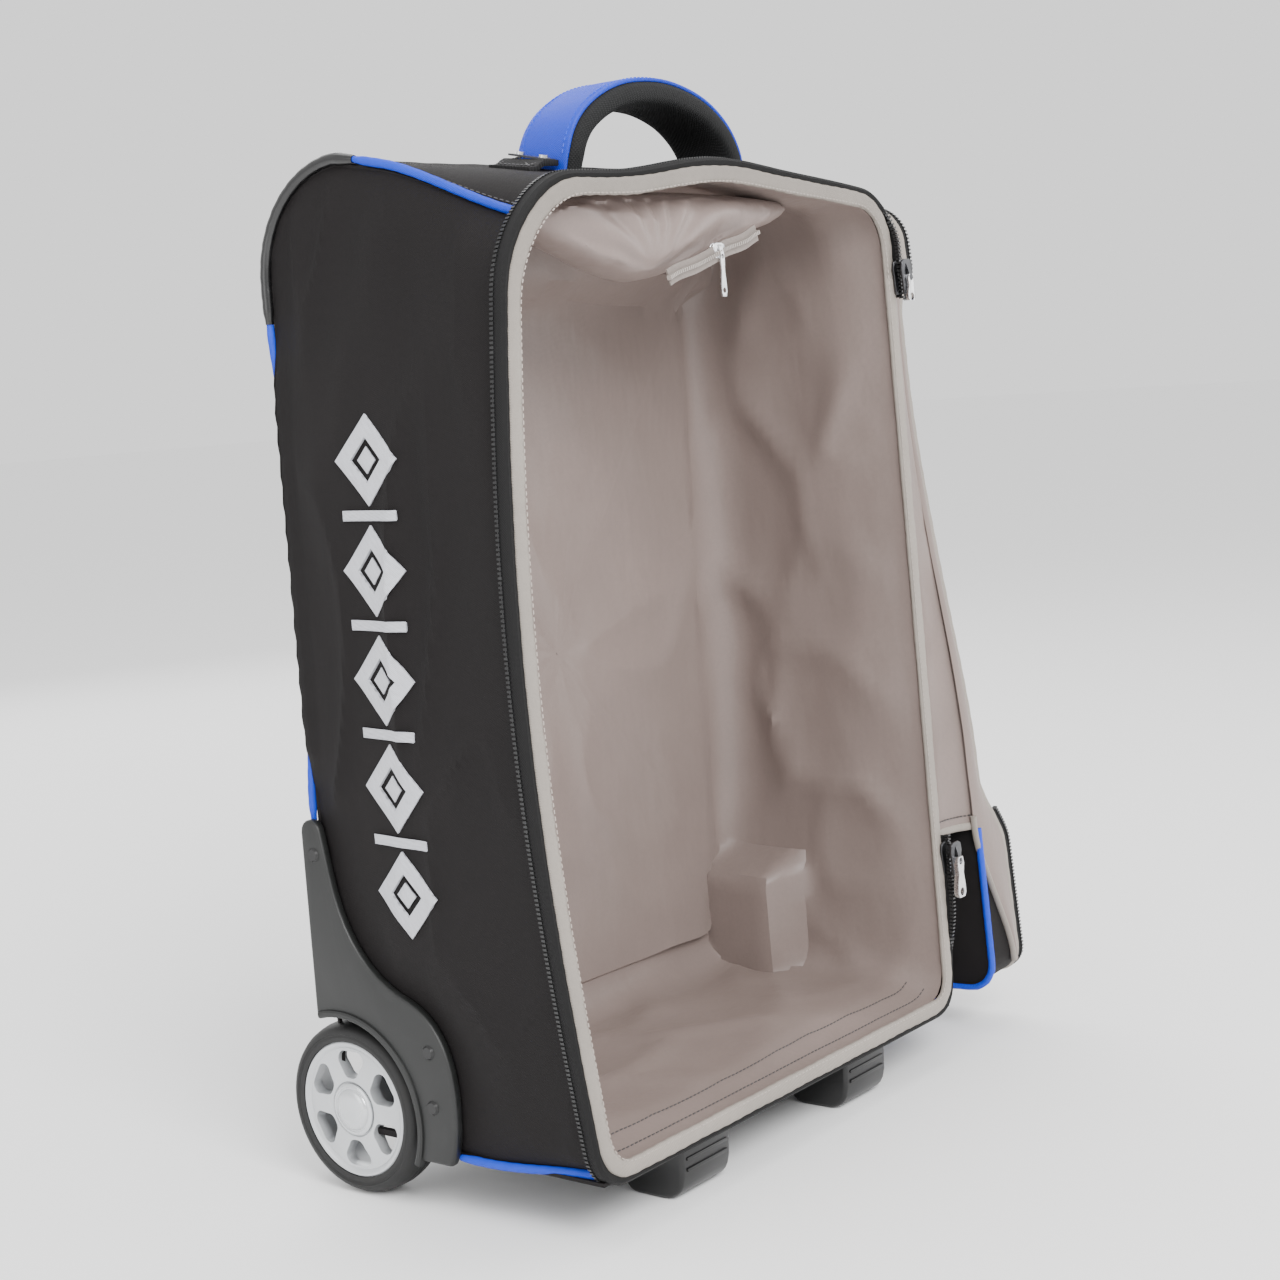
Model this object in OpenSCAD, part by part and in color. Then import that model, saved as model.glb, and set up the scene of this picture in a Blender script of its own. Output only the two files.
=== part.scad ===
// Wheeled skate bag: a soft upright case with a zip-off front flap, two wheels,
// two front feet, a padded carry handle and a two-stage telescopic handle.
// Millimetres, +Z up. X runs across the bag, -Y is the open front.
// The flap is drawn unzipped and folded back along the right side.

/* [Bag] */
// Half of the bag's width, seam to seam
half_w = 173; // [165:1:180]
// Y of the back panel's outer face
back_y = 88; // [86:1:92]
// Y of the opening's edge at the top
front_top_y = -83; // [-90:1:-78]
// Y of the opening's edge at the bottom
front_bottom_y = -99; // [-104:1:-95]
// Height of the opening's top edge at the side seams
front_top_z = 529; // [520:1:540]
// Height of the shell's underside
bottom_z = 33; // [32:1:36]
// Height of the top panel where it meets the rounded back corner
crown_z = 554; // [548:1:560]
// Radius of the rounded top back corner
corner_r = 60; // [55:1:64]
// How far the stuffed sides bow out at mid height
side_bulge = 15; // [8:1:18]
// How far the opening's upright edges bow backward
edge_hollow = 8; // [2:1:12]
// Rise of the top panel between its side seams
top_crown = 12; // [4:1:16]
// Thickness of the padded outer fabric
fabric_t = 3; // [2:0.5:4]

/* [Flap] */
// Depth of the flap's gusset at the top
gusset_top = 28; // [24:1:34]
// Depth of the flap's gusset at the bottom
gusset_bottom = 50; // [40:1:60]
// Height of the lower end of the flap's fabric hinge
hinge_low_z = 139; // [130:1:160]
// Height of the upper end of the flap's fabric hinge
hinge_high_z = 470; // [440:1:474]
// Thickness of the padded flap panel
flap_t = 5; // [3:0.5:7]

/* [Wheels] */
// Tread radius of the wheels
wheel_r = 48; // [46:1:49]
// Y of the wheel axles
axle_y = 75; // [72:1:76]
// Wheel width
wheel_w = 26; // [22:1:28]
// Radius of the 8 mm axle bolts
axle_r = 4; // [3:0.5:4.5]

/* [Handles] */
// Half of the outer span of the carry handle
carry_half = 81; // [70:1:90]
// Y of the carry handle's middle plane
carry_y = -30; // [-34:1:-20]
// Highest point of the carry handle
carry_top_z = 596; // [590:1:604]
// Width of the carry handle's pad
carry_w = 40; // [34:1:44]
// Half of the distance between the telescopic tubes
tube_x = 62; // [56:1:66]
// Y of the telescopic tubes' axes
tube_y = 75; // [74:0.5:75.5]

/* [Hidden] */
gap = 0.4;
$fn = 48;
front_h = front_top_z - bottom_z;
corner_y = back_y - corner_r;
corner_z = crown_z - corner_r;
wheel_out = half_w + 2;
wheel_in = wheel_out - wheel_w;
guard_t = 6;
arch_r = wheel_r + 4.5;
well_r = arch_r + 3;
well_in = wheel_in - 7;
lining_y = 62;
zip_w = 9;

// The bounding box's middle, so that the origin lies under it
teeth_out = 1.2;
flap_gap = 0.6;
box_x = (2 * gusset_bottom - zip_w - flap_gap - side_bulge - teeth_out) / 2;
box_y = (front_bottom_y - zip_w + front_top_y + 2 * half_w + 1.4) / 2;

// ---------- helpers ----------

function lerp(a, b, t) = a + (b - a) * t;
function unit(v) = v / norm(v);
function front_y(u) = lerp(front_bottom_y, front_top_y, u);
function arc(c, r, a0, a1, n) = [for (i = [0 : n]) let (a = lerp(a0, a1, i / n)) c + r * [cos(a), sin(a)]];
function bezier(a, b, c, n) = [for (i = [1 : n]) let (t = i / n) (1 - t) ^ 2 * a + 2 * t * (1 - t) * b + t ^ 2 * c];
function reversed(p) = [for (i = [len(p) - 1 : -1 : 0]) p[i]];
function circle_points(r, n) = [for (i = [0 : n - 1]) r * [cos(360 * i / n), sin(360 * i / n)]];
function box_points(a, b) = [[a[0], a[1]], [b[0], a[1]], [b[0], b[1]], [a[0], b[1]]];
function tangent(p, i, closed) =
    let (n = len(p), a = closed ? (i + n - 1) % n : max(i - 1, 0), b = closed ? (i + 1) % n : min(i + 1, n - 1))
    unit(p[b] - p[a]);

// A section of [outward, sideways] points carried along a path; side is the sideways direction
// and widths, if given, scales the sideways size at each point of the path
module sweep(path, section, side, closed = false, widths = []) {
    n = len(path);
    m = len(section);
    points = [for (i = [0 : n - 1])
        let (out = unit(cross(side, tangent(path, i, closed))))
        for (s = section) path[i] + s[0] * out + s[1] * (len(widths) > 0 ? widths[i] : 1) * side];
    skin = [for (i = [0 : (closed ? n : n - 1) - 1], j = [0 : m - 1])
        let (k = (i + 1) % n, l = (j + 1) % m, a = i * m + j, b = i * m + l, c = k * m + l, d = k * m + j)
        each [[a, d, c], [a, c, b]]];
    caps = closed ? [] : [[for (j = [0 : m - 1]) j], [for (j = [m - 1 : -1 : 0]) (n - 1) * m + j]];
    polyhedron(points, concat(skin, caps));
}

// A sheet between two grids of points; outer is the grid seen anticlockwise from outside
module sheet(outer, inner) {
    n = len(outer);
    m = len(outer[0]);
    points = [for (g = [outer, inner], row = g) each row];
    o = n * m;
    faces = [for (i = [0 : n - 2], j = [0 : m - 2])
        let (a = i * m + j, b = a + m, c = b + 1, d = a + 1)
        each [[a, c, b], [a, d, c], [o + a, o + b, o + c], [o + a, o + c, o + d]]];
    rim_a = [for (i = [0 : n - 2]) let (a = i * m, b = a + m, c = a + m - 1, d = c + m)
        each [[a, b, o + b], [a, o + b, o + a], [c, o + d, d], [c, o + c, o + d]]];
    rim_b = [for (j = [0 : m - 2]) let (a = j, b = j + 1, c = (n - 1) * m + j, d = c + 1)
        each [[a, o + b, b], [a, o + a, o + b], [c, d, o + d], [c, o + d, o + c]]];
    polyhedron(points, concat(faces, rim_a, rim_b));
}

module placed() translate([-box_x, -box_y, 0]) children();
// A YZ outline extruded across X from x0 to x1
module across(x0, x1) translate([x0, 0, 0]) rotate([90, 0, 90]) linear_extrude(x1 - x0) children();

// ---------- shared shapes ----------

// Height of the side seam at the top of the bag
function top_z_at(y) = y < corner_y ? lerp(front_top_z, crown_z, (y - front_top_y) / (corner_y - front_top_y))
    : corner_z + sqrt(max(0, corner_r ^ 2 - (y - corner_y) ^ 2));
function bow(s, t) = side_bulge * sin(180 * s) ^ 1.1 * (1 - t ^ 2.2);
function hollow(s, t) = edge_hollow * sin(180 * s) * (1 - t);

// Points of a side panel's face, bottom to top and front to back, for the side whose sign is k.
// The face stops seam_room short of the piping
seam_room = 4.6;
side_rows = 14;
side_cols = 12;
function side_top(y) = y < corner_y ? top_z_at(y) - seam_room
    : corner_z + sqrt(max(0, (corner_r - seam_room) ^ 2 - (y - corner_y) ^ 2));
function side_grid(k, depth) = [for (i = [0 : side_cols]) [for (j = [0 : side_rows])
    let (t = sin(90 * i / side_cols), s = j / side_rows, back = back_y - seam_room,
         y = lerp(front_y(s), back, t) + hollow(s, t),
         z = lerp(bottom_z + 2.5, side_top(lerp(front_top_y, back, t)), s))
    [k * (half_w - 0.5 - depth + bow(s, t)), y, z]]];

// The opening's edge in its own plane: x across, h up the sloping front
function opening_point(x, h) = let (u = h / front_h, w = x / half_w)
    [x + side_bulge * sin(180 * u) * w ^ 3, front_y(u) + edge_hollow * sin(180 * u),
     bottom_z + u * front_h + top_crown * (1 - w ^ 2) * max(u, 0) ^ 8];
function run_points(a, b, n) = [for (i = [0 : n - 1]) lerp(a, b, i / n)];
low_r = 16;
hinge_corner_r = 24;
free_corner_r = 50;
// Clockwise from the hinge's lower end, down, round and up to its upper end; inset moves it inward
function zip_path(inset) = let (w = half_w - inset, top = front_h - inset, hl = hinge_low_z - bottom_z, hh = hinge_high_z - bottom_z)
    [for (p = concat(
        run_points([w, hl], [w, low_r + inset], 6),
        arc([w - low_r, low_r + inset], low_r, 0, -90, 4),
        run_points([w - low_r - 20, inset], [low_r - w, inset], 8),
        arc([low_r - w, low_r + inset], low_r, -90, -180, 4),
        run_points([-w, low_r + inset + 20], [-w, top - free_corner_r], 16),
        arc([free_corner_r - w, top - free_corner_r], free_corner_r, 180, 90, 6),
        run_points([free_corner_r - w + 20, top], [w - hinge_corner_r, top], 10),
        arc([w - hinge_corner_r, top - hinge_corner_r], hinge_corner_r, 90, 0, 6),
        [[w, hh]])) opening_point(p[0], p[1])];
function hinge_path(inset) = let (w = half_w - inset)
    [for (z = [hinge_high_z - 20 : -24 : hinge_low_z + 6]) opening_point(w, z - bottom_z)];

// ---------- shell ----------

module side_panel(k) difference() {
    if (k > 0) sheet(side_grid(1, 0), side_grid(1, fabric_t));
    else sheet(side_grid(-1, fabric_t), side_grid(-1, 0));
    across(k > 0 ? half_w - 20 : -half_w - 20, k > 0 ? half_w + 20 : 20 - half_w) guard_outline(gap);
    translate([0, axle_y, wheel_r]) rotate([0, 90, 0]) cylinder(r = well_r + gap, h = 3 * half_w, center = true);
}
module left_side_panel() placed() color([0.14, 0.13, 0.14]) side_panel(-1);
module right_side_panel() placed() color([0.14, 0.13, 0.14]) side_panel(1);

panel_half = half_w - 5;
top_cols = 12;
function top_grid(inset) = [for (i = [0 : top_cols]) [for (j = [0 : 6])
    let (w = i / top_cols * 2 - 1, y = lerp(front_top_y + 1, corner_y - 1, j / 6))
    [w * panel_half, y, top_z_at(y) - inset + top_crown * (1 - w ^ 2) * (1 - j / 6)]]];
module top_panel() placed() color([0.12, 0.12, 0.13]) sheet(top_grid(0), top_grid(fabric_t));

module wheel_clear(extra) translate([0, axle_y, wheel_r]) rotate([0, 90, 0]) difference() {
    cylinder(r = well_r + extra, h = 3 * half_w, center = true);
    cylinder(r = well_r + extra + 1, h = 2 * (well_in - extra), center = true);
}
module bezel_clear(extra) translate([-bezel_half - extra, bezel_y - extra, bezel_z - extra])
    cube([2 * (bezel_half + extra), 60, 80]);

module back_panel() placed() color([0.12, 0.12, 0.13]) difference() {
    across(-panel_half, panel_half) polygon(concat(
        arc([corner_y, corner_z], corner_r, 88, 0, 12), [[back_y, bottom_z + 3]],
        [[back_y - fabric_t, bottom_z + 3]], reversed(arc([corner_y, corner_z], corner_r - fabric_t, 88, 0, 12))));
    wheel_clear(gap);
    bezel_clear(gap);
}
module bottom_panel() placed() color([0.12, 0.12, 0.13]) difference() {
    across(-panel_half, panel_half) polygon(box_points([front_bottom_y + 1, bottom_z], [back_y - 4, bottom_z + fabric_t]));
    wheel_clear(gap);
}
module back_board() placed() color([0.25, 0.25, 0.26]) difference() {
    across(8 - half_w, half_w - 8) polygon(box_points([lining_y + 0.6, bottom_z + 8], [lining_y + 2.6, bezel_z - 4]));
    wheel_clear(2);
}
module base_board() placed() color([0.25, 0.25, 0.26]) difference() {
    across(8 - half_w, half_w - 8) polygon(box_points([front_bottom_y + 12, bottom_z + 4], [lining_y, bottom_z + 7]));
    wheel_clear(2);
}

lining_t = 0.8;
function room_outline(inset) = [
    [front_bottom_y + 4, bottom_z + 8 + inset], [lining_y - inset, bottom_z + 8 + inset],
    [lining_y - inset, bezel_z - 12 - inset], [bezel_y - 4 - inset, bezel_z - 8 - inset],
    [bezel_y - 8 - inset, crown_z - 26 - inset], [corner_y, crown_z - 14 - inset],
    [front_top_y + 4, front_top_z - 9 - inset]];
module room(inset) difference() {
    across(6 + inset - half_w, half_w - 6 - inset) polygon(room_outline(inset));
    wheel_clear(3 + inset);
}
module main_lining() placed() color([0.62, 0.57, 0.54]) difference() {
    room(0);
    room(lining_t);
    translate([0, front_bottom_y, 0]) rotate([atan((front_bottom_y - front_top_y) / front_h), 0, 0])
        translate([-half_w, -20, -20]) cube([2 * half_w, 27, 700]);
}

// ---------- piping and corner bumpers ----------

pipe_r = 2.2;
function seam_top() = [for (y = [front_top_y + 3 : 14 : corner_y - 15]) [y, top_z_at(y)]];
function seam_arc(a0, a1, n) = arc([corner_y, corner_z], corner_r, a0, a1, n);
module seam_pipe(k, path) sweep([for (p = path) [k * half_w, p[0], p[1]]], circle_points(pipe_r, 8), [1, 0, 0]);
module piping(k) {
    seam_pipe(k, seam_top());
    seam_pipe(k, [[back_y, corner_z - 24], [back_y, 390], [back_y, 300], [back_y, guard_tip_z + 5]]);
    seam_pipe(k, [[-10, bottom_z], [-40, bottom_z], [-70, bottom_z], [front_bottom_y + 5, bottom_z]]);
}
module left_piping() placed() color([0.1, 0.33, 0.85]) piping(-1);
module right_piping() placed() color([0.1, 0.33, 0.85]) piping(1);
module corner_bumpers() placed() color([0.07, 0.07, 0.08]) for (k = [-1, 1])
    sweep([for (p = concat([[corner_y - 12, top_z_at(corner_y - 12) + 0.5]], seam_arc(90, 0, 12), [[back_y, corner_z - 20]]))
        [k * half_w, p[0], p[1]]], circle_points(4, 10), [1, 0, 0]);

// ---------- opening: binding and main zip ----------

module opening_binding() placed() color([0.78, 0.73, 0.68])
    sweep(concat(zip_path(5), hinge_path(5)), [[3.2, 0.4], [3.2, 2.6], [0, 3.6], [-4.4, 2.6], [-4.4, 0.4]], [0, -1, 0], true);
module body_zip_tape() placed() color([0.05, 0.05, 0.05])
    sweep(zip_path(0), box_points([-1, 1], [0.2, zip_w - 3.4]), [0, -1, 0]);
module body_zip_teeth() placed() color([0.09, 0.09, 0.1])
    sweep(zip_path(0), box_points([-2, zip_w - 3.2], [teeth_out, zip_w]), [0, -1, 0]);

// ---------- side emblem: a column of plain bars and diamonds ----------

emblem_low = 160;
emblem_high = 420;
emblem_count = 7;
module side_emblem() placed() color([0.85, 0.86, 0.9]) for (i = [0 : emblem_count - 1]) {
    z = lerp(emblem_low, emblem_high, i / (emblem_count - 1));
    s = (z - bottom_z) / front_h;
    t = 0.57;
    y = lerp(front_y(s), back_y, t) + hollow(s, t);
    translate([-half_w - bow(s, t) - 1.6, y, z]) rotate([45, 0, 0]) cube([1, 25, 25], center = true);
}

// ---------- top pocket ----------

pocket_front = front_top_y + 10;
module top_pocket() placed() color([0.66, 0.6, 0.57])
    translate([0, pocket_front + 44, 0]) rotate([90, 0, 0]) linear_extrude(42)
        polygon(concat([[-146, 517], [-130, 508]], bezier([-130, 508], [-60, 484], [-38, 491], 6), [[44, 514], [60, 517]]));
zip_a = [-40, 480];
zip_b = [46, 504];
zip_angle = atan((zip_b[1] - zip_a[1]) / (zip_b[0] - zip_a[0]));
zip_len = norm(zip_b - zip_a);
module along_pocket_zip() translate([zip_a[0], pocket_front - 1, zip_a[1]]) rotate([0, -zip_angle, 0]) children();
module pocket_zip() placed() color([0.6, 0.56, 0.53]) along_pocket_zip() {
    translate([0, 0, 1]) cube([zip_len, 1.6, 8]);
    translate([0, -1, 4]) cube([zip_len, 0.9, 2]);
}

// ---------- wheel guards, wells and axles ----------

guard_tip_z = 209;
module guard_outline(grow = 0) difference() {
    polygon(concat(
        [[back_y + 5 + grow, 60]], arc([back_y - 2, guard_tip_z - 7 - grow], 7 + grow, 0, 170, 6),
        bezier([76, 190] - [grow, 0], [70, 135] - [grow, 0], [30, 118 + grow], 8),
        bezier([30, 118 + grow], [-6 - grow, 108], [-6 - grow, 62], 8),
        bezier([-6 - grow, 62], [-6 - grow, 40], [0 - grow, bottom_z - 4 - grow], 5),
        [[30, bottom_z - 4 - grow]]));
    if (grow == 0) translate([axle_y, wheel_r]) circle(arch_r);
    translate([back_y - 60, -20]) square([200, 60 - grow]);
}
module guard(k) difference() {
    across(k > 0 ? half_w - 1 : -half_w + 1 - guard_t, k > 0 ? half_w - 1 + guard_t : 1 - half_w) guard_outline();
    for (p = rivet_points) across(k > 0 ? 0 : -300, k > 0 ? 300 : 0) translate(p) circle(rivet_r + 0.2);
}
rivet_points = [[84, 190], [10, 60], [10, 90]];
rivet_r = 2;
module guard_rivet() {
    translate([0, 0, -1.3]) cylinder(r = 2 * rivet_r, h = 1.2);
    translate([0, 0, -0.2]) cylinder(r = rivet_r, h = guard_t + 0.4);
    translate([0, 0, guard_t + 0.1]) cylinder(r1 = 2 * rivet_r, r2 = 1.5 * rivet_r, h = 1.2);
}
module guard_rivets() placed() color([0.5, 0.51, 0.52]) for (k = [-1, 1], p = rivet_points)
    translate([k * (half_w - 1), p[0], p[1]]) rotate([0, k * 90, 0]) guard_rivet();
module left_wheel_guard() placed() color([0.23, 0.24, 0.23]) guard(-1);
module right_wheel_guard() placed() color([0.23, 0.24, 0.23]) guard(1);

module turned(k, x) translate([k * x, axle_y, wheel_r]) rotate([0, k * 90, 0]) children();
module well(k) difference() {
    union() {
        intersection() {
            turned(k, well_in) cylinder(r = well_r, h = half_w - 1.5 - well_in);
            across(-half_w, half_w) polygon(box_points([0, bottom_z], [back_y, 140]));
        }
        turned(k, well_in - 8) cylinder(r = 9, h = 9);
    }
    turned(k, well_in + 3) cylinder(r = arch_r, h = 60);
    turned(k, well_in - 20) cylinder(r = axle_r + 0.05, h = 60);
}
module left_wheel_well() placed() color([0.1, 0.1, 0.1]) well(-1);
module right_wheel_well() placed() color([0.1, 0.1, 0.1]) well(1);
module axle(k) {
    turned(k, well_in - 14) cylinder(r = axle_r, h = wheel_out - 6 - well_in + 14);
    turned(k, wheel_out - 6) cylinder(r = 6.5, h = 2.5);
    turned(k, well_in - 14) cylinder(r = 6.5, h = 5.5, $fn = 6);
    turned(k, well_in + 3.2) difference() {
        cylinder(r = 6.2, h = wheel_in + 0.6 - well_in - 3.2);
        translate([0, 0, -1]) cylinder(r = axle_r + 0.05, h = 20);
    }
}
module left_axle() placed() color([0.7, 0.7, 0.72]) axle(-1);
module right_axle() placed() color([0.7, 0.7, 0.72]) axle(1);

// ---------- wheels ----------

rim_r = 38;
bearing_r = 11;
module tyre(k) turned(k, wheel_in) rotate_extrude($fn = 96) polygon([
    [rim_r, 1], [wheel_r - 5, 0], [wheel_r - 1.5, 4], [wheel_r, 8], [wheel_r, wheel_w - 8],
    [wheel_r - 1.5, wheel_w - 4], [wheel_r - 5, wheel_w], [rim_r, wheel_w - 1]]);
// One rounded window between two spokes: a narrow end near the hub, a wide end near the rim
module rim_window() {
    inner = [19.5, 2.6];
    outer = [29.5, 8.2];
    r = 3.2;
    polygon(concat(
        arc([inner[0], inner[1]], r, 110, 180, 4), arc([inner[0], -inner[1]], r, 180, 250, 4),
        arc([outer[0], -outer[1]], r, 250, 345, 5), arc([outer[0], outer[1]], r, 15, 110, 5)));
}
module rim(k) turned(k, wheel_in) difference() {
    union() {
        difference() {
            translate([0, 0, 1.5]) cylinder(r = rim_r - 0.05, h = wheel_w - 3, $fn = 96);
            translate([0, 0, -1]) cylinder(r = rim_r - 3.5, h = wheel_w - 8.5, $fn = 96);
            translate([0, 0, wheel_w - 2.8]) cylinder(r = rim_r - 4, h = 10, $fn = 96);
        }
        translate([0, 0, 1.2]) cylinder(r = bearing_r + 3, h = wheel_w - 3.2);
    }
    for (i = [0 : 5]) rotate(60 * i + 30) translate([0, 0, -1]) linear_extrude(wheel_w + 2) rim_window();
    translate([0, 0, -1]) cylinder(r = axle_r + 2.5, h = wheel_w + 2);
    translate([0, 0, -1]) cylinder(r = bearing_r + 0.03, h = 9);
    translate([0, 0, wheel_w - 13.5]) cylinder(r = bearing_r + 0.03, h = 20);
}
module cap(k) turned(k, wheel_out - 1.95) union() {
    cylinder(r = 14.5, h = 1.2);
    cylinder(r = 12, h = 2.6);
}
module bearings(k) for (x = [wheel_in + 0.8, wheel_out - 13.4]) turned(k, x) difference() {
    cylinder(r = bearing_r, h = 7);
    translate([0, 0, -1]) cylinder(r = axle_r + 0.03, h = 9);
}
module left_tyre() placed() color([0.06, 0.06, 0.06]) tyre(-1);
module left_rim() placed() color([0.75, 0.77, 0.79]) rim(-1);
module left_cap() placed() color([0.78, 0.8, 0.82]) cap(-1);
module left_bearings() placed() color([0.6, 0.6, 0.62]) bearings(-1);
module right_tyre() placed() color([0.06, 0.06, 0.06]) tyre(1);
module right_rim() placed() color([0.75, 0.77, 0.79]) rim(1);
module right_cap() placed() color([0.78, 0.8, 0.82]) cap(1);
module right_bearings() placed() color([0.6, 0.6, 0.62]) bearings(1);

// ---------- feet ----------

foot_x = 80;
foot_half = 22;
foot_y0 = -90;
foot_y1 = -54;
screw_ys = [-80, -64];
module foot(k) difference() {
    across(k * foot_x - foot_half, k * foot_x + foot_half) polygon(concat(
        [[foot_y0 - 4, bottom_z - gap], [foot_y0 - 3, 12]], bezier([foot_y0 - 3, 12], [foot_y0 - 1, 0], [foot_y0 + 12, 0], 6),
        [[foot_y1 - 8, 0]],
        bezier([foot_y1 - 8, 0], [foot_y1, 0], [foot_y1 + 3, 12], 6), [[foot_y1 + 6, bottom_z - gap]]));
    for (y = screw_ys) translate([k * foot_x, y, -1]) {
        cylinder(r = 2.2, h = 60);
        cylinder(r = 4.6, h = 11);
    }
}
module left_foot() placed() color([0.08, 0.08, 0.08]) foot(-1);
module right_foot() placed() color([0.08, 0.08, 0.08]) foot(1);
module foot_screws() placed() color([0.7, 0.7, 0.72]) for (k = [-1, 1], y = screw_ys) translate([k * foot_x, y, 0]) {
    translate([0, 0, 7.5]) cylinder(r = 4.2, h = 2.4);
    translate([0, 0, 9.8]) cylinder(r = 2, h = bottom_z - 10.3);
}

// ---------- telescopic handle ----------

bezel_half = 84;
bezel_y = 50;
bezel_z = 500;
cup_floor = 4;
outer_r = 9.4;
middle_r = 8.2;
inner_r = 7;
wall = 0.9;
tube_low = 46;
module tube(r, z0, z1) for (k = [-1, 1]) translate([k * tube_x, tube_y, z0]) difference() {
    cylinder(r = r, h = z1 - z0);
    translate([0, 0, -1]) cylinder(r = r - wall, h = z1 - z0 + 2);
}
module handle_bezel() placed() color([0.1, 0.1, 0.1]) difference() {
    intersection() {
        across(-bezel_half, bezel_half) polygon(concat(
            [[0, 0], [0, crown_z + 1]], arc([corner_y, corner_z], corner_r + 1, 90, 0, 16), [[back_y + 1, 0]]));
        translate([-bezel_half, bezel_y, bezel_z]) cube([2 * bezel_half, 60, 80]);
    }
    translate([4 - bezel_half, bezel_y + 4, bezel_z + cup_floor]) cube([2 * bezel_half - 8, 31.5, 80]);
    for (k = [-1, 1]) translate([k * tube_x, tube_y, 0]) cylinder(r = outer_r + 0.4, h = 700);
}
module outer_tubes() placed() color([0.72, 0.73, 0.75]) tube(outer_r, tube_low, bezel_z + cup_floor);
module middle_tubes() placed() color([0.76, 0.77, 0.79]) tube(middle_r, tube_low + 12, bezel_z + cup_floor + 2);
module inner_tubes() placed() color([0.8, 0.81, 0.83]) tube(inner_r, tube_low + 20, bezel_z + cup_floor + 8);
module tube_bracket() placed() color([0.08, 0.08, 0.08]) difference() {
    translate([-tube_x - 13, lining_y + 4, bottom_z + 4]) cube([2 * tube_x + 26, 18.4, 22]);
    for (k = [-1, 1]) translate([k * tube_x, tube_y, tube_low]) cylinder(r = outer_r + 0.05, h = 100);
}
grip_z = bezel_z + cup_floor + 8.4;
grip_h = 16;
module grip() placed() color([0.07, 0.07, 0.08]) difference() {
    translate([-tube_x - 11, tube_y - 9.5, grip_z]) cube([2 * tube_x + 22, 18, grip_h]);
    translate([-16, tube_y - 5, grip_z + grip_h - 8]) cube([32, 10, 20]);
}
module grip_button() placed() color([0.5, 0.5, 0.52])
    translate([-15.5, tube_y - 4.5, grip_z + grip_h - 4]) cube([31, 9, 7]);

// ---------- carry handle ----------

pad_t = 15;
pad_h = pad_t / 2 - 0.1;
carry_root_z = 553;
carry_steps = 24;
function carry_arch(r_in, n) = [for (i = [0 : n]) let (a = 180 * i / n, w = carry_half - r_in, h = carry_top_z - r_in - carry_root_z)
    [-w * (abs(cos(a)) ^ 0.8) * sign(cos(a)), carry_y, carry_root_z + h * sin(a) ^ 0.9]];
module carry_pad() placed() color([0.1, 0.33, 0.85])
    sweep(carry_arch(pad_t / 2, carry_steps), [
        [-pad_h, -0.35 * carry_w], [-4, -0.48 * carry_w], [4, -carry_w / 2], [pad_h, -0.4 * carry_w],
        [pad_h, 0.4 * carry_w], [4, carry_w / 2], [-4, 0.48 * carry_w], [-pad_h, 0.35 * carry_w]], [0, 1, 0],
        widths = [for (i = [0 : carry_steps]) min(1, 0.3 + 5 * sin(180 * i / carry_steps) ^ 1.5)]);
module carry_webbing() placed() color([0.08, 0.08, 0.08]) for (k = [-1, 1])
    translate([k * (carry_half + 13.5), carry_y, root_z(carry_half) + 2.8]) rotate([12.7, 0, 0])
        cube([24, 30, 1.6], center = true);
function root_z(x) = top_z_at(carry_y) + top_crown * (1 - (x / panel_half) ^ 2) * (1 - (carry_y - front_top_y) / (corner_y - front_top_y));
module on_root(k) translate([k * (carry_half + 8), carry_y, root_z(carry_half)]) rotate([12.7, 0, 0]) children();
module handle_roots() placed() color([0.75, 0.76, 0.78]) for (k = [-1, 1]) on_root(k)
    translate([0, 0, 4.6]) cube([10, 24, 1], center = true);
module root_rivets() placed() color([0.8, 0.8, 0.82]) for (k = [-1, 1], y = [-8, 8]) on_root(k)
    translate([0, y, 5.15]) cylinder(r = 2.5, h = 1.4);

// ---------- flap: drawn shut, then folded open ----------

hinge_foot = [half_w, front_bottom_y, bottom_z];
hinge_axis = unit([0, front_top_y - front_bottom_y, front_h]);
fold_foot = hinge_foot - [0, gusset_bottom, 0];
fold_axis = unit([half_w, front_top_y - gusset_top, front_top_z] - fold_foot);
module swung(point, axis, angle) translate(point) rotate(a = angle, v = axis) translate(-point) children();
module gusset_open() swung(hinge_foot, hinge_axis, 90) children();
module flap_open() gusset_open() swung(fold_foot, fold_axis, 180) children();
flap_tilt = atan((fold_axis[1]) / fold_axis[2]);
flap_h = norm([0, front_top_y - gusset_top - fold_foot[1], front_h]);

module flap_outline(inset) difference() {
    translate([-half_w + inset, inset]) square([2 * (half_w - inset), flap_h - 2 * inset]);
    for (k = [-1, 1], low = [true, false]) {
        r = (low ? low_r : k > 0 ? hinge_corner_r : free_corner_r) - inset;
        translate([k * (half_w - inset - r), low ? inset + r : flap_h - inset - r]) difference() {
            translate([k > 0 ? 0 : -r - 1, low ? -r - 1 : 0]) square(r + 1);
            circle(r);
        }
    }
}
// The flap's plane stood up at the front: drawn x across, y up the slope, z toward the bag
module in_flap(depth) translate([0, fold_foot[1], bottom_z]) rotate([90 - flap_tilt, 0, 0])
    translate([0, 0, -depth]) children();
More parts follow.
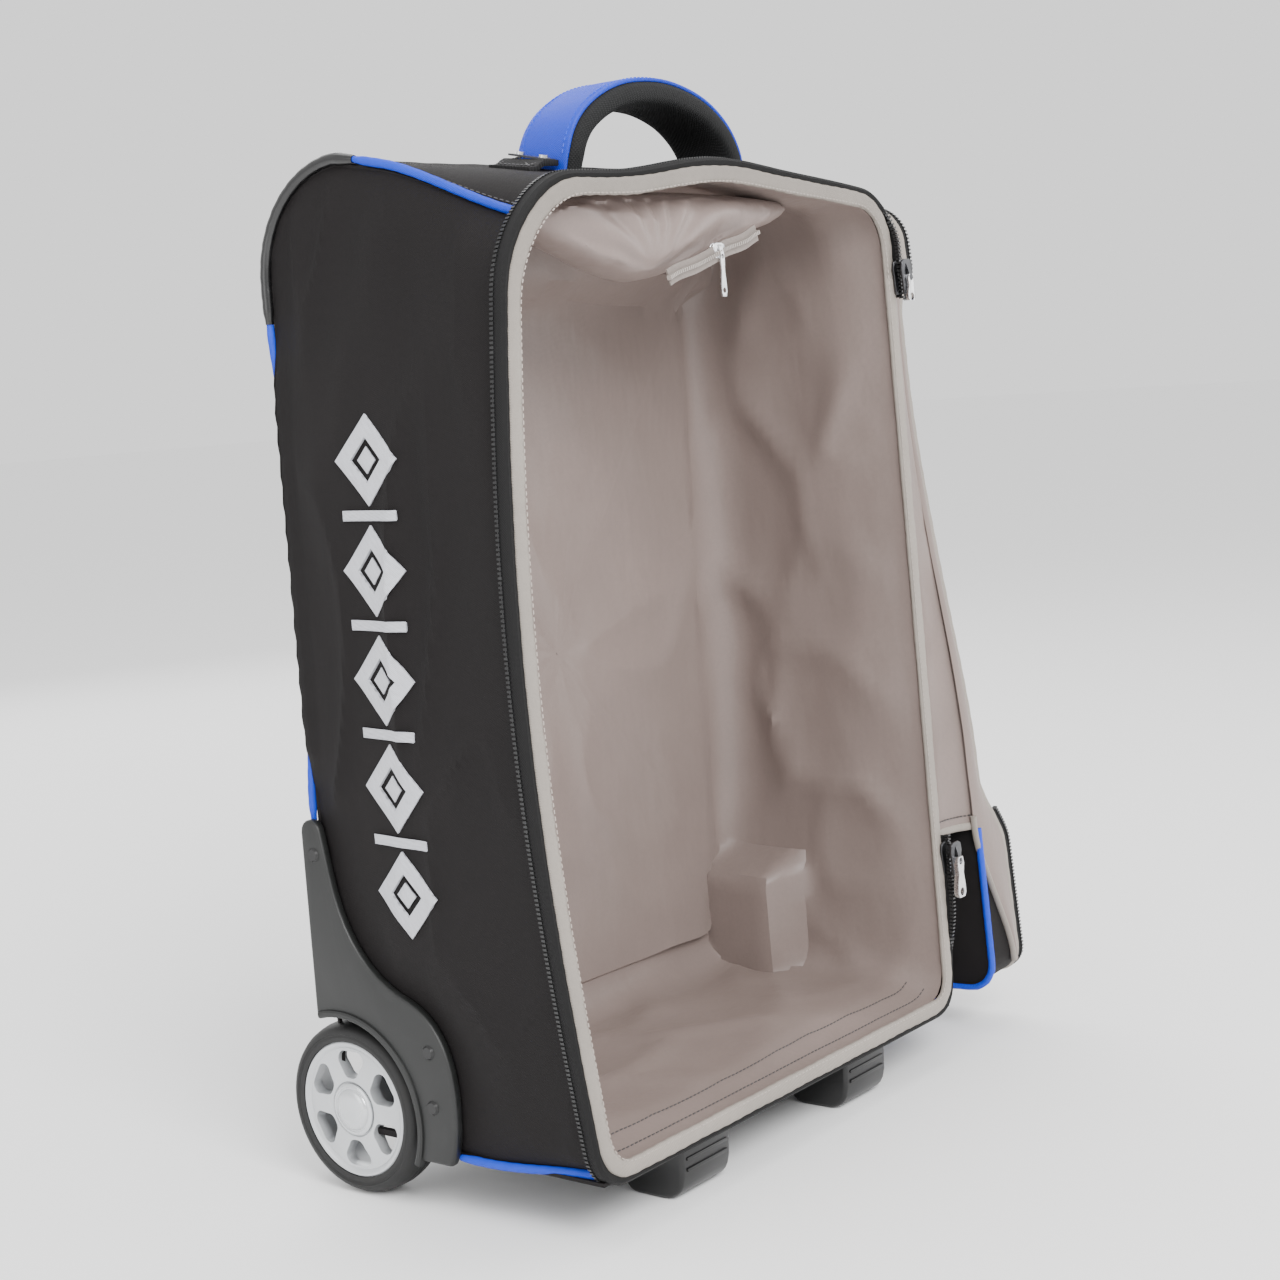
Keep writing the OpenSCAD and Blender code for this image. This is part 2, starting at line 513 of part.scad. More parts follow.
// The space between the flap's plane and the opening, stopping short of the opening by room
module flap_depth(room) across(-2 * half_w, 2 * half_w) polygon([
    [fold_foot[1] - 20, bottom_z - 20], [front_bottom_y - room, bottom_z - 20], [front_bottom_y - room, bottom_z],
    [front_top_y - room, front_top_z], [front_top_y - room, front_top_z + 20], [fold_foot[1] - 20, front_top_z + 20]]);
module band(outer, inner) in_flap(70) linear_extrude(66) difference() {
    flap_outline(outer);
    flap_outline(inner);
}
module hinge_slot(low = 0, high = 0) translate([half_w - 20, -300, hinge_low_z + low])
    cube([40, 300, hinge_high_z - hinge_low_z - low - high]);

// The strip starts a little off the seam, clear of the binding and of the zip, and ends off the fold,
// clear of the piping's sweep
strip_room = 5;
fold_room = 6.5;
module hinge_gusset() placed() color([0.62, 0.57, 0.54]) gusset_open() intersection() {
    across(half_w - 2, half_w) polygon([
        [front_bottom_y - strip_room, bottom_z], [front_top_y - strip_room, front_top_z],
        [front_top_y - gusset_top + fold_room, front_top_z],
        [front_bottom_y - gusset_bottom + fold_room, bottom_z]]);
    hinge_slot(2, 8);
}
module flap_panel() placed() color([0.12, 0.12, 0.13]) flap_open() in_flap(flap_t) linear_extrude(flap_t) flap_outline(0.5);
module flap_gusset() placed() color([0.12, 0.12, 0.13]) flap_open() difference() {
    intersection() {
        band(0.5, 2.5);
        flap_depth(zip_w + 6);
        in_flap(70) linear_extrude(70 - flap_t - 0.5) flap_outline(0);
    }
    hinge_slot();
}
module flap_lining() placed() color([0.62, 0.57, 0.54]) flap_open() in_flap(flap_t + 1.6) linear_extrude(0.8) flap_outline(3.5);
module flap_piping() placed() color([0.1, 0.33, 0.85]) flap_open()
    in_flap(flap_t - 1) linear_extrude(3.6) difference() {
        flap_outline(-3.2);
        flap_outline(-0.2);
    }
module flap_zip_tape() placed() color([0.05, 0.05, 0.05]) flap_open() difference() {
    intersection() {
        band(0.5, 1.7);
        difference() {
            flap_depth(zip_w + 3.8);
            flap_depth(zip_w + 5.8);
        }
    }
    hinge_slot();
}
module flap_zip_teeth() placed() color([0.09, 0.09, 0.1]) flap_open() difference() {
    intersection() {
        band(-0.4, 2.4);
        difference() {
            flap_depth(zip_w + flap_gap);
            flap_depth(zip_w + 3.6);
        }
    }
    hinge_slot();
}

// ---------- zip sliders and pulls ----------

slider_len = 20;
// Length of the lower slider's pull (mm)
lower_pull_len = 22; // [16:1:26]
// Length of the upper slider's pull, short enough to swing under the flap's piping (mm)
upper_pull_len = 12; // [10:1:16]
function edge_frame(z) = let (p = opening_point(half_w, z - bottom_z), q = opening_point(half_w, z - 40 - bottom_z)) [p, unit(p - q)];
module on_edge(z) let (f = edge_frame(z)) translate(f[0] - [0, zip_w - 1.6, 0])
    rotate([-asin(f[1][1]), asin(f[1][0]), 0]) children();
module slider_body(length) difference() {
    translate([-5.5, -3.8, -length]) cube([11, 7, length]);
    translate([-3.2, -2.4, -length - 1]) cube([5.6, 4.8, length + 2]);
    translate([-1.8, 0, -length - 1]) cube([3.2, 10, length + 2]);
}
module pull_tab(length) difference() {
    translate([-3.5, -1, -length]) cube([7, 1.6, length + 3]);
    translate([0, 5, 3 - length + 1]) rotate([90, 0, 0]) cylinder(r = 1.6, h = 10);
}
lower_z = hinge_low_z - 4;
upper_z = hinge_high_z + 2 + slider_len;
module pull_at(z, length) on_edge(z) translate([0, -5, -slider_len / 2 - 2]) pull_tab(length);
module lower_slider() placed() color([0.12, 0.12, 0.12]) on_edge(lower_z) slider_body(slider_len);
module lower_pull() placed() color([0.75, 0.75, 0.78]) pull_at(lower_z, lower_pull_len);
module upper_slider() placed() color([0.12, 0.12, 0.12]) on_edge(upper_z) slider_body(slider_len);
module upper_pull() placed() color([0.75, 0.75, 0.78]) pull_at(upper_z, upper_pull_len);

pocket_slide_at = 50;
module pocket_slider() placed() color([0.75, 0.75, 0.78]) along_pocket_zip()
    translate([pocket_slide_at - 5, -4.2, 2]) cube([10, 2.8, 6]);
module pocket_pull() placed() color([0.75, 0.75, 0.78]) along_pocket_zip()
    translate([pocket_slide_at, -4.8, 4]) rotate([0, zip_angle, 0]) difference() {
        translate([-2.5, -1.1, -24]) cube([5, 1.2, 24.4]);
        translate([0, 5, -21]) rotate([90, 0, 0]) cylinder(r = 1.3, h = 10);
    }

// ---------- drawing ----------

left_side_panel();
right_side_panel();
top_panel();
back_panel();
bottom_panel();
back_board();
base_board();
main_lining();
left_piping();
right_piping();
corner_bumpers();
opening_binding();
body_zip_tape();
body_zip_teeth();
side_emblem();
top_pocket();
pocket_zip();
left_wheel_guard();
right_wheel_guard();
left_wheel_well();
right_wheel_well();
left_axle();
right_axle();
left_foot();
right_foot();
foot_screws();
handle_bezel();
outer_tubes();
tube_bracket();
handle_roots();
root_rivets();
guard_rivets();
left_tyre();
left_rim();
left_cap();
left_bearings();
right_tyre();
right_rim();
right_cap();
right_bearings();
middle_tubes();
inner_tubes();
grip();
grip_button();
carry_pad();
carry_webbing();
hinge_gusset();
flap_panel();
flap_gusset();
flap_lining();
flap_piping();
flap_zip_tape();
flap_zip_teeth();
lower_slider();
lower_pull();
upper_slider();
upper_pull();
pocket_slider();
pocket_pull();
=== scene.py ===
"""Looks of a wheeled skate bag: sewn fabric shell, lining, folded flap, wheels, handles and trims.

Sizes in the classes are in millimetres, with x = 0 on the bag's middle plane, y = 0 between its front
and its back, and z = 0 on the floor. Shape.at() turns them into the row frame's metres.
"""

from __future__ import annotations

import logging
import math
from dataclasses import dataclass
from enum import Enum
from typing import Callable, Protocol, Sequence

import bpy
import numpy as np
from mathutils import Matrix, Vector, noise

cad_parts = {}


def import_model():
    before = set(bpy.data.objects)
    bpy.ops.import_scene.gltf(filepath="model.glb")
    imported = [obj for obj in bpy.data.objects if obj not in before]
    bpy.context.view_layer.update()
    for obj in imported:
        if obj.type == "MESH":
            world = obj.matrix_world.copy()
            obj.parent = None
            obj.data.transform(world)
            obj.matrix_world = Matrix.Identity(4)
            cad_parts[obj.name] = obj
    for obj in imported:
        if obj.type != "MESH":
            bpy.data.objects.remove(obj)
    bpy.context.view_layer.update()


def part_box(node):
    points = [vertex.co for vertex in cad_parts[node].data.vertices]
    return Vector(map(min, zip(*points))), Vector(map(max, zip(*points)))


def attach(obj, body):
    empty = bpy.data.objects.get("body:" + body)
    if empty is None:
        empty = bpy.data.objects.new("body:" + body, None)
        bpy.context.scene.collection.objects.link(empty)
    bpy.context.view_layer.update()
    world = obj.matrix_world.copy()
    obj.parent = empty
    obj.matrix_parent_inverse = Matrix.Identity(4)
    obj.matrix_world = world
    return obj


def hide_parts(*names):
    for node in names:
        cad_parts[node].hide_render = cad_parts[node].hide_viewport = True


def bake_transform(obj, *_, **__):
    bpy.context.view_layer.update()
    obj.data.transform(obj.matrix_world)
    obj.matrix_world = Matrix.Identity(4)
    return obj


LOG = logging.getLogger("skate_bag")
MM = 0.001
PANEL_HALF = 171.5  # Half the width of the cloth between the two side seams, in millimetres
MIDST = Vector((0, -60, 280))  # A point amid the bag's inside, in millimetres
Colour = tuple[float, float, float]
Section = Sequence[tuple[float, float]]


# ---------------------------------------------------------------- shader maths


class Val:
    """A number socket in a shader tree that can be used in Python expressions."""

    def __init__(self, recipe: "Recipe", socket: bpy.types.NodeSocket) -> None:
        """Keeps the socket and the recipe that its nodes go into."""
        self.recipe = recipe
        self.socket = socket

    def _math(self, operation: str, a: "Val | float", b: "Val | float") -> "Val":
        """Adds one Math node.

        Args:
            operation: The Math node's operation.
            a: First value.
            b: Second value.

        Returns:
            The node's result.
        """
        return self.recipe.math(operation, a, b)

    def __add__(self, other: "Val | float") -> "Val":
        """self + other."""
        return self._math("ADD", self, other)

    def __radd__(self, other: float) -> "Val":
        """other + self."""
        return self._math("ADD", other, self)

    def __sub__(self, other: "Val | float") -> "Val":
        """self - other."""
        return self._math("SUBTRACT", self, other)

    def __rsub__(self, other: float) -> "Val":
        """other - self."""
        return self._math("SUBTRACT", other, self)

    def __mul__(self, other: "Val | float") -> "Val":
        """self * other."""
        return self._math("MULTIPLY", self, other)

    def __rmul__(self, other: float) -> "Val":
        """other * self."""
        return self._math("MULTIPLY", other, self)

    def __truediv__(self, other: "Val | float") -> "Val":
        """self / other."""
        return self._math("DIVIDE", self, other)

    def __pow__(self, other: float) -> "Val":
        """self to a power."""
        return self._math("POWER", self, other)


class Source(Enum):
    """Where a pattern takes its coordinates from."""

    UV = "UV"
    OBJECT = "Object"


class Recipe:
    """One material's node tree, built from Python calls."""

    def __init__(self, name: str) -> None:
        """Starts an empty tree that ends in a Principled BSDF."""
        self.material = bpy.data.materials.new(name)
        self.material.use_nodes = True
        self.tree = self.material.node_tree
        self.tree.nodes.clear()
        self.shader = self.node("ShaderNodeBsdfPrincipled")
        out = self.node("ShaderNodeOutputMaterial")
        self.tree.links.new(self.shader.outputs["BSDF"], out.inputs["Surface"])

    def node(self, kind: str, settings: dict | None = None, sockets: dict | None = None) -> bpy.types.Node:
        """Adds a node.

        Args:
            kind: The node's type.
            settings: Attributes set before its sockets.
            sockets: Values, Vals or sockets by input name or number.

        Returns:
            The new node.
        """
        made = self.tree.nodes.new(kind)
        for key, value in (settings or {}).items():
            setattr(made, key, value)
        for key, value in (sockets or {}).items():
            self.put(made.inputs[key], value)
        return made

    def put(self, target: bpy.types.NodeSocket, value: object) -> None:
        """Links or sets one input socket."""
        if isinstance(value, Val):
            value = value.socket
        if isinstance(value, bpy.types.NodeSocket):
            self.tree.links.new(value, target)
        elif isinstance(value, (tuple, list)) and target.type == "RGBA" and len(value) == 3:
            target.default_value = (*value, 1.0)
        else:
            target.default_value = value

    def math(self, operation: str, a: Val | float, b: Val | float = 0.0, clamp: bool = False) -> Val:
        """One Math node.

        Args:
            operation: Its operation.
            a: First value.
            b: Second value.
            clamp: Whether the result is held to 0..1.

        Returns:
            The result.
        """
        made = self.node("ShaderNodeMath", {"operation": operation, "use_clamp": clamp}, {0: a, 1: b})
        return Val(self, made.outputs[0])

    def coords(self, source: Source, turn: float = 0.0, stretch: Sequence[float] = (1, 1, 1)) -> bpy.types.NodeSocket:
        """Pattern coordinates in metres.

        Args:
            source: UV map or object coordinates.
            turn: Turn about Z in degrees.
            stretch: Scale of the three axes.

        Returns:
            The vector socket.
        """
        where = self.node("ShaderNodeTexCoord")
        mapped = self.node("ShaderNodeMapping", {}, {
            "Vector": where.outputs[source.value], "Rotation": (0, 0, math.radians(turn)), "Scale": tuple(stretch)})
        return mapped.outputs[0]

    def axes(self, vector: bpy.types.NodeSocket) -> tuple[Val, Val, Val]:
        """The three parts of a vector."""
        parts = self.node("ShaderNodeSeparateXYZ", {}, {0: vector})
        return Val(self, parts.outputs[0]), Val(self, parts.outputs[1]), Val(self, parts.outputs[2])

    def cloud(self, vector: bpy.types.NodeSocket, scale: float, detail: float = 2.0, rough: float = 0.5) -> Val:
        """Noise from 0 to 1.

        Args:
            vector: Coordinates.
            scale: Cells per metre.
            detail: Octaves.
            rough: Weight of the finer octaves.

        Returns:
            The noise.
        """
        made = self.node("ShaderNodeTexNoise", {"noise_dimensions": "3D"}, {
            "Vector": vector, "Scale": scale, "Detail": detail, "Roughness": rough})
        return Val(self, made.outputs[0])

    def ramp(self, value: Val, low: float, high: float) -> Val:
        """value mapped so that low gives 0 and high gives 1, held there."""
        made = self.node("ShaderNodeMapRange", {"clamp": True}, {0: value, 1: low, 2: high, 3: 0.0, 4: 1.0})
        return Val(self, made.outputs[0])

    def mix(self, factor: Val | float, a: object, b: object) -> bpy.types.NodeSocket:
        """Colour between a and b.

        Args:
            factor: Share of b, 0 to 1.
            a: First colour.
            b: Second colour.

        Returns:
            The mixed colour.
        """
        made = self.node("ShaderNodeMix", {"data_type": "RGBA"})
        self.put(made.inputs[0], factor)
        self.put(made.inputs[6], a)
        self.put(made.inputs[7], b)
        return made.outputs[2]

    def bump(self, height: Val, depth: float, strength: float = 1.0) -> bpy.types.NodeSocket:
        """A normal from a height.

        Args:
            height: The height, about 0 to 1.
            depth: Metres that a height of 1 stands for.
            strength: The Bump node's strength.

        Returns:
            The normal socket.
        """
        made = self.node("ShaderNodeBump", {}, {"Height": height, "Distance": depth, "Strength": strength})
        return made.outputs[0]

    def done(self, **sockets: object) -> bpy.types.Material:
        """Feeds the shader and returns the material."""
        for key, value in sockets.items():
            self.put(self.shader.inputs[key.replace("_", " ")], value)
        return self.material


def wave(recipe: Recipe, along: Val, pitch: float) -> Val:
    """A sine from 0 to 1 along a coordinate.

    Args:
        recipe: The material's recipe.
        along: The coordinate in metres.
        pitch: Metres from crest to crest.

    Returns:
        The wave.
    """
    return recipe.math("SINE", along * (2 * math.pi / pitch)) * 0.5 + 0.5


# ---------------------------------------------------------------- finishes


class Weave(Enum):
    """How the threads of a cloth cross."""

    PLAIN = "plain"
    TWILL = "twill"
    SATIN = "satin"
    MESH = "mesh"


@dataclass(frozen=True)
class Cloth:
    """A woven fabric with threads, soft variation of colour, and sheen.

    Attributes:
        name: The material's name.
        colour: Its middle colour.
        shade: Painted shade in the weave's low spots between the threads, as a share of the colour.
        pitch: Distance between threads in metres.
        weave: How the threads cross.
        rough: Roughness.
        sheen: Sheen weight.
        relief: Height of the threads in metres.
        drift: How much the colour drifts over the cloth.
        crease: Height of fine creases in metres.
        gloss: Strength of the mirror-like part of its light.
    """

    name: str
    colour: Colour
    shade: float = 0.6
    pitch: float = 0.0009
    weave: Weave = Weave.PLAIN
    rough: float = 0.8
    sheen: float = 0.25
    relief: float = 0.00012
    drift: float = 0.25
    crease: float = 0.0006
    gloss: float = 0.3

    def make(self) -> bpy.types.Material:
        """Builds the material."""
        r = Recipe(self.name)
        uv = r.coords(Source.UV)
        u, v, _ = r.axes(uv)
        if self.weave is Weave.PLAIN:
            threads = wave(r, u, self.pitch) * wave(r, v, self.pitch) + (1 - wave(r, u, self.pitch)) * (
                1 - wave(r, v, self.pitch))
        elif self.weave is Weave.TWILL:
            threads = wave(r, u + v, self.pitch) * 0.8 + wave(r, v, self.pitch * 0.7) * 0.2
        elif self.weave is Weave.SATIN:
            threads = wave(r, v, self.pitch) * 0.6 + r.cloud(r.coords(Source.UV, 0, (1, 14, 1)), 260) * 0.4
        else:
            threads = r.math("MULTIPLY", wave(r, u + v, self.pitch), wave(r, u - v, self.pitch))
        place = r.coords(Source.OBJECT)
        soft = r.cloud(place, 9, 3, 0.55)
        fine = r.cloud(place, 420, 2, 0.6)
        dark = tuple(c * self.shade for c in self.colour)
        light = tuple(min(1.0, c * (1 + self.drift)) for c in self.colour)
        faded = r.mix(r.ramp(soft, 0.35, 0.7), self.colour, light)
        # Painted shade: where the weave's bump dips between the threads, the colour goes toward dark.
        tone = r.mix(r.ramp(threads * 0.75 + fine * 0.4, 0.1, 0.75), dark, faded)
        folds = r.cloud(r.coords(Source.OBJECT, 20, (1, 1, 0.45)), 38, 3, 0.5)
        weave_normal = r.bump(threads + fine * 0.5, self.relief)
        normal = r.node("ShaderNodeBump", {}, {
            "Height": folds, "Distance": self.crease, "Strength": 1.0, "Normal": weave_normal})
        return r.done(Base_Color=tone, Roughness=r.ramp(soft, -0.6, 1.8) * 0.24 + (self.rough - 0.12),
                      Normal=normal.outputs[0], Sheen_Weight=self.sheen, Sheen_Roughness=0.45,
                      Sheen_Tint=(*light, 1.0), Specular_IOR_Level=self.gloss)


@dataclass(frozen=True)
class Moulded:
    """A moulded plastic or rubber with a fine grain and light scuffs.

    Attributes:
        name: The material's name.
        colour: Its colour.
        scuff: Colour of rubbed places.
        rough: Roughness.
        grain: Height of the grain in metres.
        grain_size: Grains per metre.
        wear: Share of the surface that is rubbed.
        metallic: Metallic share.
        coat: Clear coat weight.
    """

    name: str
    colour: Colour
    scuff: Colour
    rough: float = 0.45
    grain: float = 0.00004
    grain_size: float = 1400.0
    wear: float = 0.3
    metallic: float = 0.0
    coat: float = 0.0

    def make(self) -> bpy.types.Material:
        """Builds the material."""
        r = Recipe(self.name)
        place = r.coords(Source.OBJECT)
        grain = r.cloud(place, self.grain_size, 2, 0.6)
        rubbed = r.ramp(r.cloud(place, 55, 6, 0.72), 0.66 - 0.3 * self.wear, 0.86 - 0.2 * self.wear)
        drift = r.cloud(place, 14, 3, 0.5)
        darker = tuple(c * 0.72 for c in self.colour)
        tone = r.mix(r.ramp(drift, 0.3, 0.7), darker, self.colour)
        tone = r.mix(rubbed * (0.25 + 0.5 * self.wear), tone, self.scuff)
        rough = drift * 0.16 + rubbed * 0.12 + (self.rough - 0.1)
        return r.done(Base_Color=tone, Roughness=rough, Metallic=self.metallic,
                      Normal=r.bump(grain, self.grain), Coat_Weight=self.coat, Coat_Roughness=0.25)


@dataclass(frozen=True)
class Metal:
    """A plated, cast or drawn metal.

    Attributes:
        name: The material's name.
        colour: Its colour.
        rough: Roughness.
        brush: Stretch of the brushing along x, y and z; a small number runs lines along that axis.
        tarnish: Weight of darker spots.
    """

    name: str
    colour: Colour
    rough: float = 0.3
    brush: tuple[float, float, float] = (1.0, 1.0, 1.0)
    tarnish: float = 0.3

    def make(self) -> bpy.types.Material:
        """Builds the material."""
        r = Recipe(self.name)
        lines = r.cloud(r.coords(Source.OBJECT, 0, self.brush), 1500, 2, 0.6)
        spots = r.ramp(r.cloud(r.coords(Source.OBJECT), 180, 4, 0.6), 0.45, 0.75)
        dark = tuple(c * 0.55 for c in self.colour)
        tone = r.mix(spots * self.tarnish, self.colour, dark)
        return r.done(Base_Color=tone, Metallic=1.0, Roughness=lines * 0.14 + spots * 0.1 + (self.rough - 0.07),
                      Normal=r.bump(lines, 0.00003))


@dataclass(frozen=True)
class Stitching:
    """Thread laid in parallel satin stitches, as in embroidery and seams.

    Attributes:
        name: The material's name.
        colour: Thread colour.
        pitch: Distance between threads in metres.
        rough: Roughness.
    """

    name: str
    colour: Colour
    pitch: float = 0.0007
    rough: float = 0.42

    def make(self) -> bpy.types.Material:
        """Builds the material."""
        r = Recipe(self.name)
        u, v, _ = r.axes(r.coords(Source.UV))
        lines = wave(r, u + v * 0.15, self.pitch)
        bands = r.cloud(r.coords(Source.UV, 0, (4, 1, 1)), 160, 2, 0.5)
        # Painted shade in the dips between the stitch lines, where the bump dips too, mixed with random banding that
        # is the thread's own tone.
        dark = tuple(c * 0.5 for c in self.colour)
        tone = r.mix(r.ramp(lines * 0.6 + bands * 0.6, 0.15, 0.8), dark, self.colour)
        return r.done(Base_Color=tone, Roughness=self.rough + bands * 0.15,
                      Normal=r.bump(lines + bands * 0.4, 0.0002), Sheen_Weight=0.3, Sheen_Roughness=0.35)


class Finishes:
    """Every finish of the bag, each made once."""

    RECIPES = {finish.name: finish for finish in (
        Cloth("black_polyester", (0.0065, 0.005, 0.0052), 0.5, 0.0010, Weave.PLAIN, rough=0.72, sheen=0.06,
              relief=0.0002, gloss=0.22),
        Cloth("lining", (0.2, 0.158, 0.143), 0.84, 0.0007, Weave.SATIN, rough=0.36, sheen=0.35, relief=0.00004,
              drift=0.16, crease=0.0012),
        Cloth("pocket_lining", (0.215, 0.17, 0.155), 0.84, 0.0007, Weave.SATIN, rough=0.34, sheen=0.35,
              relief=0.00004, drift=0.16, crease=0.0014),
        Cloth("blue_piping", (0.006, 0.042, 0.5), 0.6, 0.0011, Weave.TWILL, rough=0.5, sheen=0.4, relief=0.00015,
              drift=0.5),
        Cloth("binding", (0.29, 0.26, 0.23), 0.72, 0.0012, Weave.TWILL, rough=0.55, sheen=0.4, relief=0.00018,
              drift=0.15),
        Cloth("webbing", (0.006, 0.0055, 0.006), 0.45, 0.0022, Weave.TWILL, rough=0.7, sheen=0.1, relief=0.0004),
        Cloth("zip_tape", (0.005, 0.0047, 0.005), 0.5, 0.0012, Weave.TWILL, rough=0.75, sheen=0.08, relief=0.0002),
        Cloth("taupe_tape", (0.22, 0.19, 0.172), 0.7, 0.0012, Weave.TWILL, rough=0.6, sheen=0.3, relief=0.0002),
        Cloth("handle_blue", (0.006, 0.035, 0.47), 0.62, 0.0013, Weave.TWILL, rough=0.42, sheen=0.5, relief=0.0002,
              drift=0.35),
        Cloth("handle_grey", (0.011, 0.0115, 0.012), 0.35, 0.0022, Weave.MESH, rough=0.8, sheen=0.3, relief=0.0004),
        Stitching("embroidery", colour=(0.62, 0.63, 0.68)),
        Stitching("dark_thread", colour=(0.05, 0.045, 0.045), pitch=0.0005, rough=0.6),
        Stitching("taupe_thread", colour=(0.42, 0.37, 0.33), pitch=0.0005, rough=0.55),
        Stitching("black_thread", colour=(0.055, 0.052, 0.055), pitch=0.0005, rough=0.5),
        Moulded("black_plastic", colour=(0.005, 0.005, 0.0053), scuff=(0.03, 0.03, 0.03), rough=0.36, grain=0.00003,
                grain_size=900, wear=0.2),
        Moulded("bumper", colour=(0.004, 0.004, 0.0043), scuff=(0.03, 0.03, 0.03), rough=0.3, grain=0.00003,
                grain_size=800, wear=0.25, metallic=0, coat=0.3),
        Moulded("guard_plastic", colour=(0.0085, 0.0092, 0.0088), scuff=(0.03, 0.03, 0.03), rough=0.5, grain=0.00005,
                grain_size=1100, wear=0.4),
        Moulded("board", colour=(0.09, 0.09, 0.095), scuff=(0.2, 0.2, 0.2), rough=0.6),
        Moulded("button_grey", colour=(0.16, 0.16, 0.165), scuff=(0.3, 0.3, 0.3), rough=0.45),
        Moulded("tyre", colour=(0.005, 0.005, 0.005), scuff=(0.025, 0.024, 0.022), rough=0.62, grain=0.00008,
                grain_size=700, wear=0.5),
        Moulded("wheel_silver", colour=(0.6, 0.615, 0.63), scuff=(0.38, 0.38, 0.39), rough=0.36, grain=0.00002,
                grain_size=1600, wear=0.25, metallic=0.55),
        Moulded("cap_silver", colour=(0.66, 0.675, 0.69), scuff=(0.4, 0.4, 0.41), rough=0.28, grain=0.00001,
                grain_size=1600, wear=0.2, metallic=0.7, coat=0.2),
        Moulded("zip_teeth", colour=(0.008, 0.008, 0.0085), scuff=(0.08, 0.08, 0.08), rough=0.35),
        Moulded("taupe_teeth", colour=(0.36, 0.32, 0.29), scuff=(0.5, 0.46, 0.42), rough=0.4),
        Metal("zinc", colour=(0.74, 0.74, 0.75), rough=0.24, tarnish=0.25),
        Metal("dark_metal", colour=(0.09, 0.09, 0.095), rough=0.34),
        Metal("axle_steel", colour=(0.6, 0.6, 0.62), rough=0.32, brush=(1, 8, 8)),
        Metal("tube_aluminium", colour=(0.72, 0.73, 0.75), rough=0.26, brush=(8, 8, 0.3)),
    )}

    def __init__(self) -> None:
        """Starts with nothing made."""
        self._made: dict[str, bpy.types.Material] = {}

    def get(self, name: str) -> bpy.types.Material:
        """The finish of that name, made on first use."""
        if name not in self._made:
            self._made[name] = self.RECIPES[name].make()
        return self._made[name]


# ---------------------------------------------------------------- the bag's form


def lerp(a: float, b: float, t: float) -> float:
    """From a at t = 0 to b at t = 1."""
    return a + (b - a) * t


def smooth(low: float, high: float, x: float) -> float:
    """0 below low, 1 above high, and a soft step between."""
    t = min(1.0, max(0.0, (x - low) / (high - low)))
    return t * t * (3 - 2 * t)


def arc(centre: tuple[float, float], r: float, a0: float, a1: float, n: int) -> list[tuple[float, float]]:
    """Points of a circular arc.

    Args:
        centre: Its centre.
        r: Its radius.
        a0: First angle in degrees.
        a1: Last angle in degrees.
        n: Steps.

    Returns:
        n + 1 points.
    """
    return [(centre[0] + r * math.cos(math.radians(lerp(a0, a1, i / n))),
             centre[1] + r * math.sin(math.radians(lerp(a0, a1, i / n)))) for i in range(n + 1)]


def bezier(a: Sequence[float], b: Sequence[float], c: Sequence[float], n: int) -> list[tuple[float, float]]:
    """Points of a curve from a to c pulled toward b, without a itself.

    Args:
        a: Where the curve starts.
        b: What pulls it.
        c: Where it ends.
        n: How many points.

    Returns:
        The points.
    """
    out = []
    for i in range(1, n + 1):
        t = i / n
        out.append(tuple((1 - t) ** 2 * p + 2 * t * (1 - t) * q + t * t * s for p, q, s in zip(a, b, c)))
    return out


def resample(points: Sequence[Vector], step: float, closed: bool = False) -> list[Vector]:
    """Points a fixed distance apart along a line.

    Args:
        points: The line's corners.
        step: Distance wanted between points.
        closed: Whether the line returns to its start.

    Returns:
        The new points.
    """
    line = [Vector(p) for p in points] + ([Vector(points[0])] if closed else [])
    lengths = [0.0]
    for p, q in zip(line, line[1:]):
        lengths.append(lengths[-1] + (q - p).length)
    count = max(2, round(lengths[-1] / step))
    out, k = [], 0
    for i in range(count if closed else count + 1):
        want = lengths[-1] * i / count
        while k < len(line) - 2 and lengths[k + 1] < want:
            k += 1
        span = lengths[k + 1] - lengths[k]
        out.append(line[k].lerp(line[k + 1], (want - lengths[k]) / span if span > 1e-9 else 0.0))
    return out


def soften(points: Sequence[Vector], rounds: int, closed: bool = False) -> list[Vector]:
    """The line with its kinks evened out.

    Args:
        points: The line.
        rounds: How often each point is drawn between its neighbours.
        closed: Whether the line is a loop.

    Returns:
        The softened line.
    """
    out = [Vector(p) for p in points]
    n = len(out)
    for _ in range(rounds):
        held = out[:]
        for i in range(n):
            if closed or 0 < i < n - 1:
                out[i] = held[i] * 0.5 + (held[i - 1] + held[(i + 1) % n]) * 0.25
    return out


def inside(p: tuple[float, float], polygon: Sequence[tuple[float, float]]) -> bool:
    """Whether a flat point lies in a polygon.

    Args:
        p: The flat point.
        polygon: The polygon's corners.

    Returns:
        True inside.
    """
    hit = False
    for (x0, y0), (x1, y1) in zip(polygon, [*polygon[1:], polygon[0]]):
        if (y0 > p[1]) != (y1 > p[1]) and p[0] < (x1 - x0) * (p[1] - y0) / (y1 - y0) + x0:
            hit = not hit
    return hit


def distance(p: tuple[float, float], polygon: Sequence[tuple[float, float]]) -> float:
    """Signed distance of a flat point from a polygon's edge, negative inside it.

    Args:
        p: The flat point.
        polygon: The polygon's corners.

    Returns:
        The distance in the units of the points.
    """
    best = 1e9
    q = Vector(p)
    for a, b in zip(polygon, [*polygon[1:], polygon[0]]):
        a, b = Vector(a), Vector(b)
        t = max(0.0, min(1.0, (q - a).dot(b - a) / max((b - a).length_squared, 1e-9)))
        best = min(best, (q - a.lerp(b, t)).length)
    return -best if inside(p, polygon) else best


